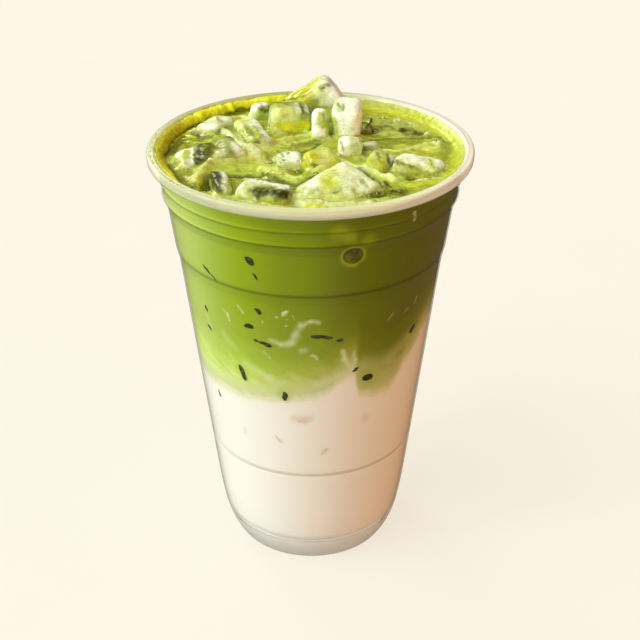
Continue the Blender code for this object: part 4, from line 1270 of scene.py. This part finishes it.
def make_matcha(material):
    gx, gy, faces = disc_grid(SURFACE_HALF)
    edge_radius = float(drink_radius(LEVEL))
    x = gx * edge_radius
    y = gy * edge_radius
    radius = np.hypot(x, y)
    angle = np.degrees(np.arctan2(y, x))
    z, colours = froth_surface(x, y, radius)

    cling = smooth_step((radius - (edge_radius - CLING_WIDTH)) / CLING_WIDTH) ** 2
    flat = np.zeros(len(x))
    round_x = CLING_NOISE_RADIUS * np.cos(np.radians(angle))
    round_y = CLING_NOISE_RADIUS * np.sin(np.radians(angle))
    ragged = 0.9 + 0.12 * noise_field(round_x, round_y, flat, 12.0, 2)
    up = np.minimum(climb(angle) * np.clip(ragged, 0.4, 1.1) * cling, CUP_HEIGHT - 0.25 - z)
    z = z + np.maximum(up, 0.0)
    shift = (inner_radius(z) - inner_radius(LEVEL)) * cling
    scale = (radius + shift) / np.maximum(radius, 1e-6)
    x, y = x * scale, y * scale
    colours = brushed(colours, blended(LIME, GOLD, 0.3), 0.85 * smooth_step(up / 0.9))
    # Painted highlight: a pale line along the top of the clinging froth
    colours = brushed(colours, PALE, 0.7 * smooth_step((up - 1.4) / 0.8))

    edge = rim_of_grid(SURFACE_HALF)
    turns = len(edge)
    edge_angle = np.degrees(np.arctan2(y[edge], x[edge]))
    edge_z = z[edge]
    bottom = border_height(edge_angle)
    points = [np.stack([x, y, z], axis=1)]
    layer = [over_border(angle, z)]
    cos, sin = np.cos(np.radians(edge_angle)), np.sin(np.radians(edge_angle))
    levels = wall_levels()
    for level in levels:
        share = level / STEP_BOTTOM
        row_z = np.minimum(level, edge_z - 0.3) if share > 1.0 else mix(bottom, STEP_BOTTOM, share)
        row_r = drink_radius(row_z)
        points.append(np.stack([row_r * cos, row_r * sin, row_z], axis=1))
        layer.append(over_border(edge_angle, row_z))
    for share in INTERFACE_SHARES:
        row_r = drink_radius(bottom) * share
        row_z = LAYER_HEIGHT + (bottom - LAYER_HEIGHT) * share**2 + LAYER_GAP
        points.append(np.stack([row_r * cos, row_r * sin, row_z], axis=1))
        layer.append(row_z * 0)
    points.append(np.array([[0.0, 0.0, LAYER_HEIGHT + LAYER_GAP]]))
    layer.append(np.zeros(1))

    start = len(x)
    for k in range(turns):
        step = (k + 1) % turns
        faces.append((edge[k], start + k, start + step, edge[step]))
    faces += [tuple(reversed(face)) for face in ring_faces(turns, len(levels), start)]
    flat_from = len(faces)
    low = start + (len(levels) - 1) * turns
    rows = len(INTERFACE_SHARES) + 1
    faces += [tuple(reversed(face)) for face in ring_faces(turns, rows, low)]
    inmost = low + (rows - 1) * turns
    last = inmost + turns
    faces += [(last, inmost + (k + 1) % turns, inmost + k) for k in range(turns)]
    obj = new_object("matcha_drink", np.concatenate(points), faces, material, flat_from)
    sharpen(obj, range(low, low + turns))
    extra = len(obj.data.vertices) - len(x)
    add_values(obj, "layer", np.concatenate(layer))
    add_values(obj, "top", np.concatenate([np.ones(len(x)), np.zeros(extra)]))
    add_paint(obj, np.concatenate([colours, np.zeros((extra, 3))]))
    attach(obj, BODY)
    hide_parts("matcha")
    return obj


def wall_levels():
    """Heights of the matcha wall's rows, top to bottom; under the step they run to the border."""
    rows = [132.6, 131.6, 130.3, 129.2]
    for bead in BEAD_HEIGHTS:
        rows += [bead + k * 0.3 for k in (3, 2, 1, 0, -1, -2, -3)]
    rows += [122.0, 121.0, 120.3, FLARE_BOTTOM, 119.5, 117.0, 114.0, 111.0, 108.5]
    rows += list(np.linspace(STEP_TOP, STEP_BOTTOM + 0.1, 9))
    rows += list(STEP_BOTTOM * np.linspace(1.0, 0.0, 14))
    return sorted(rows, reverse=True)


def make_milk(material):
    turns = DRINK_TURNS
    x, y, _ = disc_grid(SURFACE_HALF)
    edge = rim_of_grid(SURFACE_HALF)
    angles = np.arctan2(y[edge], x[edge])
    cos, sin = np.cos(angles), np.sin(angles)
    top = border_height(np.degrees(angles))
    floor = FLOOR_HEIGHT - REACH
    corner = float(body_radius(FLOOR_HEIGHT)) - WALL + REACH
    rows = [(corner * 0.5, floor), (corner - 2.0, floor)]
    rows += [(corner - 1.0, floor + 0.25), (corner - 0.35, floor + 0.8)]
    groove = [LOW_GROOVE_HEIGHT + k * 0.3 for k in range(-3, 4)]
    plain = list(np.linspace(floor + 1.5, MILK_PLAIN_TOP, 30))
    rows += [(drink_radius(z), z) for z in sorted(plain + groove)]
    for share in np.linspace(0.0, 1.0, 10)[1:]:
        z = mix(MILK_PLAIN_TOP, top, share)
        rows.append((drink_radius(z), z))
    wall_rows = len(rows)
    for share in INTERFACE_SHARES:
        z = LAYER_HEIGHT + (top - LAYER_HEIGHT) * share**2 - LAYER_GAP
        rows.append((drink_radius(top) * share, z))
    points = [np.array([[0.0, 0.0, floor]])]
    for radius, z in rows:
        points.append(np.stack([radius * cos, radius * sin, z + 0.0 * cos], axis=1))
    points.append(np.array([[0.0, 0.0, LAYER_HEIGHT - LAYER_GAP]]))
    points = np.concatenate(points)
    faces = [(0, 1 + (k + 1) % turns, 1 + k) for k in range(turns)]
    faces += ring_faces(turns, wall_rows, 1)
    flat_from = len(faces)
    border_ring = 1 + (wall_rows - 1) * turns
    faces += ring_faces(turns, len(INTERFACE_SHARES) + 1, border_ring)
    ring = 1 + (len(rows) - 1) * turns
    last = len(points) - 1
    faces += [(last, ring + k, ring + (k + 1) % turns) for k in range(turns)]
    obj = new_object("milk_drink", points, faces, material, flat_from)
    sharpen(obj, range(border_ring, border_ring + turns))
    angle = np.degrees(np.arctan2(points[:, 1], points[:, 0]))
    add_values(obj, "layer", points[:, 2] - border_height(angle))
    add_values(obj, "top", np.zeros(len(points)))
    add_paint(obj, np.zeros((len(points), 3)))
    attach(obj, BODY)
    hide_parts("milk")
    return obj


def make_froth_band(material):
    """Lumpy froth stuck to the inner wall at the back and the left, as a bent roll."""
    steps, sides = BAND_STEPS, BAND_SIDES
    points = []
    for k in range(steps + 1):
        share = k / steps
        angle = math.radians(mix(*BAND_ANGLES, share))
        taper = min(1.0, share * 9.0, (1.0 - share) * 7.0) ** 0.5
        spot = Vector((BAND_RADIUS * math.cos(angle), BAND_RADIUS * math.sin(angle), 0.0))
        fat = 1.0 + 0.40 * noise.noise(spot / 5.0) + 0.18 * noise.noise(spot / 1.8)
        drop = 0.35 * noise.noise(spot / 5.0 + Vector((9.0, 0.0, 0.0)))
        for side in range(sides):
            turn = 2 * math.pi * side / sides
            lump = 1.0 + 0.22 * noise.noise(Vector((spot.x / 1.4, spot.y / 1.4, 2.0 * math.sin(turn))))
            z = BAND_HEIGHT + drop + BAND_HALF_HEIGHT * fat * taper * lump * math.sin(turn)
            z = min(z, CUP_HEIGHT - 0.3)
            inward = BAND_HALF_DEPTH * fat * taper * lump * (math.cos(turn) - BAND_OUT)
            radius = float(inner_radius(z)) - BAND_GAP + inward
            points.append((radius * math.cos(angle), radius * math.sin(angle), z))
    faces = []
    for k in range(steps):
        for side in range(sides):
            step = (side + 1) % sides
            low = k * sides
            faces.append((low + side, low + sides + side, low + sides + step, low + step))
    faces.append(tuple(range(sides)))
    faces.append(tuple(reversed(range(steps * sides, (steps + 1) * sides))))
    obj = new_object("froth_band", points, faces, material)
    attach(obj, BODY)
    return obj


def cup_profile():
    """Radius and height of the plastic's surface, from the floor's top over the rim to its underside."""
    floor_edge = float(body_radius(FLOOR_HEIGHT)) - WALL
    profile = [(0.0, FLOOR_HEIGHT), (floor_edge * 0.6, FLOOR_HEIGHT), (floor_edge - 2.0, FLOOR_HEIGHT)]
    profile += [(floor_edge - 0.9, FLOOR_HEIGHT + 0.3), (floor_edge - 0.3, FLOOR_HEIGHT + 0.9)]
    inner = list(np.linspace(FLOOR_HEIGHT + 2.0, HEEL_HEIGHT, 8))
    inner += list(np.linspace(HEEL_HEIGHT, STEP_BOTTOM, 20))[1:]
    inner += list(np.linspace(STEP_BOTTOM, STEP_TOP, 7))[1:]
    inner += list(np.linspace(STEP_TOP, FLARE_BOTTOM, 6))[1:] + [120.5, 121.5, 122.0, 130.0, NECK_HEIGHT]
    inner += [bead + k * 0.3 for bead in (*BEAD_HEIGHTS, LOW_GROOVE_HEIGHT) for k in range(-3, 4)]
    profile += [(float(wall_radius(z)) - WALL, z) for z in sorted(inner)]
    profile += [(float(rim_inner_radius(z)), z) for z in (133.4, 134.4, 135.3, 135.9)]
    profile += [(RIM_INNER_RADIUS - 0.25, CUP_HEIGHT - 0.18), (RIM_INNER_RADIUS + 0.1, CUP_HEIGHT)]
    # The rolled rim, as steps in from its outer radius and down from its top
    for step_in, down in RIM_ROLL:
        profile.append((RIM_RADIUS - step_in, CUP_HEIGHT - down))
    outer = [132.0, 131.0, 130.0, 129.0, 122.0, 121.0, 120.3, FLARE_BOTTOM, 119.5]
    outer += [117.0, 114.0, 111.0, 108.5]
    outer += [bead + k * 0.2 for bead in (*BEAD_HEIGHTS, LOW_GROOVE_HEIGHT) for k in range(-5, 6)]
    outer += list(np.linspace(STEP_TOP, STEP_BOTTOM, 9))
    outer += list(np.linspace(STEP_BOTTOM, LOW_GROOVE_HEIGHT + 1.2, 18))[1:]
    outer += list(np.linspace(LOW_GROOVE_HEIGHT - 1.2, HEEL_HEIGHT, 5))
    outer += list(np.linspace(HEEL_HEIGHT, 0.5, 24))[1:]
    profile += [(float(wall_radius(z)), z) for z in sorted(outer, reverse=True)]
    foot_inside = FOOT_RADIUS - WALL
    profile += [(FOOT_RADIUS + 0.1, 0.2), (FOOT_RADIUS - 0.15, 0.0)]
    profile += [(foot_inside + 0.1, 0.0), (foot_inside, 0.2)]
    profile += [(float(body_radius(z)) - WALL, z) for z in (1.0, 2.0, 3.5, 5.0, 6.5)]
    under = FLOOR_HEIGHT - WALL
    under_edge = float(body_radius(under)) - WALL
    profile += [(under_edge - 0.5, under - 0.8), (under_edge - 1.6, under), (12.0, under), (0.0, under)]
    return profile


def make_cup(material):
    obj = lathe("clear_cup", cup_profile(), CUP_TURNS, material)
    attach(obj, BODY)
    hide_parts("cup")
    return obj


# Small things
def ball(bm, centre, radii, axes=None, detail=2):
    """A stretched ball in millimetres, turned to the given axes."""
    made = bmesh.ops.create_icosphere(bm, subdivisions=detail, radius=1.0)
    turn = Matrix(axes).transposed().to_4x4() if axes else Matrix.Identity(4)
    size = Matrix.Diagonal((*[r * MM for r in radii], 1.0))
    place = Matrix.Translation(Vector(centre) * MM)
    bmesh.ops.transform(bm, matrix=place @ turn @ size, verts=made["verts"])


def bmesh_object(name, bm, material):
    mesh = bpy.data.meshes.new(name)
    bm.to_mesh(mesh)
    bm.free()
    mesh.materials.append(material)
    mesh.shade_smooth()
    obj = bpy.data.objects.new(name, mesh)
    bpy.context.scene.collection.objects.link(obj)
    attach(obj, BODY)
    return obj


def make_marks(material):
    """Thin dark lenses between the drink and the plastic, where sunk ice meets the wall; their darkness is
    painted shade.
    """
    bm = bmesh.new()
    for first, last, width in DARK_MARKS:
        start, end = Vector(on_wall(first)), Vector(on_wall(last))
        middle = (start + end) / 2
        out = Vector((middle.x, middle.y, 0)).normalized()
        along = end - start
        length = along.length
        along = (along - out * along.dot(out)).normalized()
        across = out.cross(along)
        radii = (length / 2 + width, width, MARK_THICKNESS)
        ball(bm, middle + out * 0.02, radii, (along, across, out), 3)
    for vertex in bm.verts:
        spot = vertex.co / MM
        aside = noise.noise(spot / 1.2 + Vector((5, 0, 0)))
        push = Vector((noise.noise(spot / 1.2), aside, noise.noise(spot / 1.3)))
        flat = Vector((spot.x, spot.y, 0)).normalized()
        vertex.co += (push - flat * push.dot(flat)) * MARK_WANDER * MM
    return bmesh_object("sunk_ice_marks", bm, material)


def make_disc_mark(material):
    """The round dark spot high on the wall."""
    pixel, size = DISC_MARK
    bm = bmesh.new()
    centre = Vector(on_wall(pixel))
    out = Vector((centre.x, centre.y, 0)).normalized()
    across = out.cross(Vector((0, 0, 1)))
    radii = (size, size * 0.95, DISC_THICKNESS)
    ball(bm, centre - out * 0.05, radii, (across, Vector((0, 0, 1)), out), 3)
    for vertex in bm.verts:
        vertex.co += out * float(drink_radius(vertex.co.z / MM) - drink_radius(centre.z)) * MM
    return bmesh_object("wall_bubble", bm, material)


def ground_height(matcha):
    """Looks up the drink's surface height under a point, in millimetres."""
    def look(x, y):
        hit, spot, _, _ = matcha.ray_cast(Vector((x, y, OVERHEAD)) * MM, Vector((0, 0, -1)))
        return spot.z / MM if hit else LEVEL
    return look


# Single bubbles on the froth: pixel of the photo, radius in mm
BUBBLES_SEEN = (
    ((298, 173), 1.0), ((316, 175), 0.85), ((271, 163), 0.75), ((370, 197), 1.0), ((385, 190), 0.9),
    ((400, 192), 0.9),
)
# Bubbles that are placed in mm: x, y, radius
BUBBLES = (
    (-7.8, -19.4, 0.5), (16.6, 17.6, 3.1), (20.2, 17.4, 1.2), (39.6, 8.6, 1.3), (19.0, -31.0, 0.7),
    (18.0, -35.2, 0.6), (22.6, -33.2, 0.5), (-23.8, -18.6, 0.45), (-30.6, 12.4, 0.6),
)
# Patches of fine bubbles: x, y, width, depth, count, radius
BUBBLE_PATCHES = (
    (-6.5, -6.0, 6.0, 9.0, 110, 0.27), (20.5, -31.5, 8.0, 4.0, 50, 0.3),
    (-29.0, -27.0, 5.0, 5.0, 40, 0.25), (-16.0, -21.0, 9.0, 3.0, 40, 0.22),
    (-37.0, 4.0, 3.0, 10.0, 40, 0.25), (34.0, -18.0, 5.0, 6.0, 30, 0.25),
)


def make_bubbles(material, look):
    draw = random.Random(5)
    bm = bmesh.new()
    seen = [(*seen_at(pixel, LEVEL)[:2], radius) for pixel, radius in BUBBLES_SEEN]
    for x, y, radius in (*seen, *BUBBLES):
        ball(bm, (x, y, look(x, y) + radius * 0.25), (radius, radius, radius * 0.85), None, 3)
    for cx, cy, wide, deep, count, size in BUBBLE_PATCHES:
        for _ in range(count):
            x = draw.gauss(cx, wide / 2)
            y = draw.gauss(cy, deep / 2)
            radius = size * draw.uniform(0.5, 1.3)
            if math.hypot(x, y) < BUBBLE_REACH:
                ball(bm, (x, y, look(x, y) + radius * 0.3), (radius, radius, radius), None, 2)
    return bmesh_object("bubbles", bm, material)


def make_residue(material):
    """Spots of dried froth on the left part of the rim's top."""
    draw = random.Random(9)
    bm = bmesh.new()
    for _ in range(RESIDUE_COUNT):
        angle = math.radians(draw.gauss(*RESIDUE_ANGLES))
        radius = draw.uniform(RIM_INNER_RADIUS + 0.1, RIM_RADIUS - 0.7)
        size = draw.uniform(*RESIDUE_SIZES)
        centre = (radius * math.cos(angle), radius * math.sin(angle), CUP_HEIGHT - 0.05)
        ball(bm, centre, (size, size * draw.uniform(0.6, 1.6), 0.12), None, 2)
    return bmesh_object("rim_residue", bm, material)


def residue_material():
    nodes = Nodes("rim_residue_green")
    colour = nodes.blend(nodes.noise(nodes.place(), 0.6), (0.40, 0.42, 0.04), (0.60, 0.62, 0.14))
    return nodes.finish(nodes.principled(Base_Color=colour, Roughness=0.35))


# Surroundings
def make_floor():
    nodes = Nodes("pale_floor")
    grain = nodes.noise(nodes.place(), 60.0, 2.0)
    colour = nodes.blend(grain, (0.13, 0.125, 0.125), (0.15, 0.145, 0.145))
    shader = nodes.principled(
        Base_Color=colour,
        Roughness=0.9,
        Specular_IOR_Level=0.0,
        Emission_Color=(1.0, 0.935, 0.80),
        Emission_Strength=0.78,
    )
    corners = [(-FLOOR_HALF, -FLOOR_HALF, 0), (FLOOR_HALF, -FLOOR_HALF, 0)]
    corners += [(FLOOR_HALF, FLOOR_HALF, 0), (-FLOOR_HALF, FLOOR_HALF, 0)]
    floor = new_object("floor", corners, [(0, 1, 2, 3)], nodes.finish(shader))
    floor.visible_diffuse = False
    floor.visible_glossy = False
    floor.visible_shadow = False


def sun(name, azimuth, elevation, width, share, colour):
    """Even light from one direction; share is the light on a surface that faces it."""
    data = bpy.data.lights.new(name, "SUN")
    data.angle = math.radians(width)
    data.energy = share * math.pi
    data.color = colour
    obj = bpy.data.objects.new(name, data)
    turn, up = math.radians(azimuth), math.radians(elevation)
    towards = Vector((math.cos(turn) * math.cos(up), math.sin(turn) * math.cos(up), math.sin(up)))
    obj.rotation_euler = towards.to_track_quat("Z", "Y").to_euler()
    bpy.context.scene.collection.objects.link(obj)


# Name, azimuth, elevation, width in degrees, strength, colour
SUNS = (
    ("window", -155.0, 38.0, 70.0, 1.22, (0.94, 1.0, 0.95)),
    ("window_core", -155.0, 38.0, 12.0, 0.20, (0.94, 1.0, 0.95)),
    ("floor_bounce", -100.0, -32.0, 80.0, 0.22, (1.0, 0.93, 0.80)),
    ("high", 100.0, 74.0, 50.0, 0.20, (1.0, 1.0, 0.85)),
    ("warm_side", -25.0, 15.0, 60.0, 0.50, (1.0, 0.52, 0.18)),
    ("back", 125.0, 32.0, 25.0, 0.42, (1.0, 1.0, 0.70)),
)


def make_lights():
    for row in SUNS:
        sun(*row)
    world = bpy.data.worlds.new("studio")
    world.use_nodes = True
    background = world.node_tree.nodes["Background"]
    background.inputs["Color"].default_value = WORLD_COLOUR
    background.inputs["Strength"].default_value = WORLD_STRENGTH
    bpy.context.scene.world = world


def make_camera():
    data = bpy.data.cameras.new("camera")
    data.lens = LENS
    data.sensor_width = SENSOR_WIDTH
    data.clip_start = CAMERA_CLIP
    camera = bpy.data.objects.new("camera", data)
    camera.location = Vector(CAMERA_PLACE) * MM
    camera.rotation_euler = (math.radians(90.0 - CAMERA_PITCH), 0.0, 0.0)
    bpy.context.scene.collection.objects.link(camera)
    bpy.context.scene.camera = camera


def render_settings():
    scene = bpy.context.scene
    scene.view_settings.view_transform = "Standard"
    scene.view_settings.look = "None"
    scene.cycles.use_denoising = True
    scene.cycles.max_bounces = 12
    scene.cycles.transparent_max_bounces = 24
    scene.cycles.caustics_reflective = False
    scene.cycles.caustics_refractive = False
    scene.cycles.sample_clamp_indirect = 6.0


make_camera()
drink = drink_material()
make_cup(plastic_material())
make_milk(drink)
matcha = make_matcha(drink)
for seed, (name, look) in enumerate(ICE_LOOKS.items()):
    make_ice(name, look, seed)
make_froth_band(froth_material())
make_marks(dark_material())
make_disc_mark(disc_material())
bpy.context.view_layer.update()
make_bubbles(bubble_material(), ground_height(matcha))
make_residue(residue_material())
make_floor()
make_lights()
render_settings()
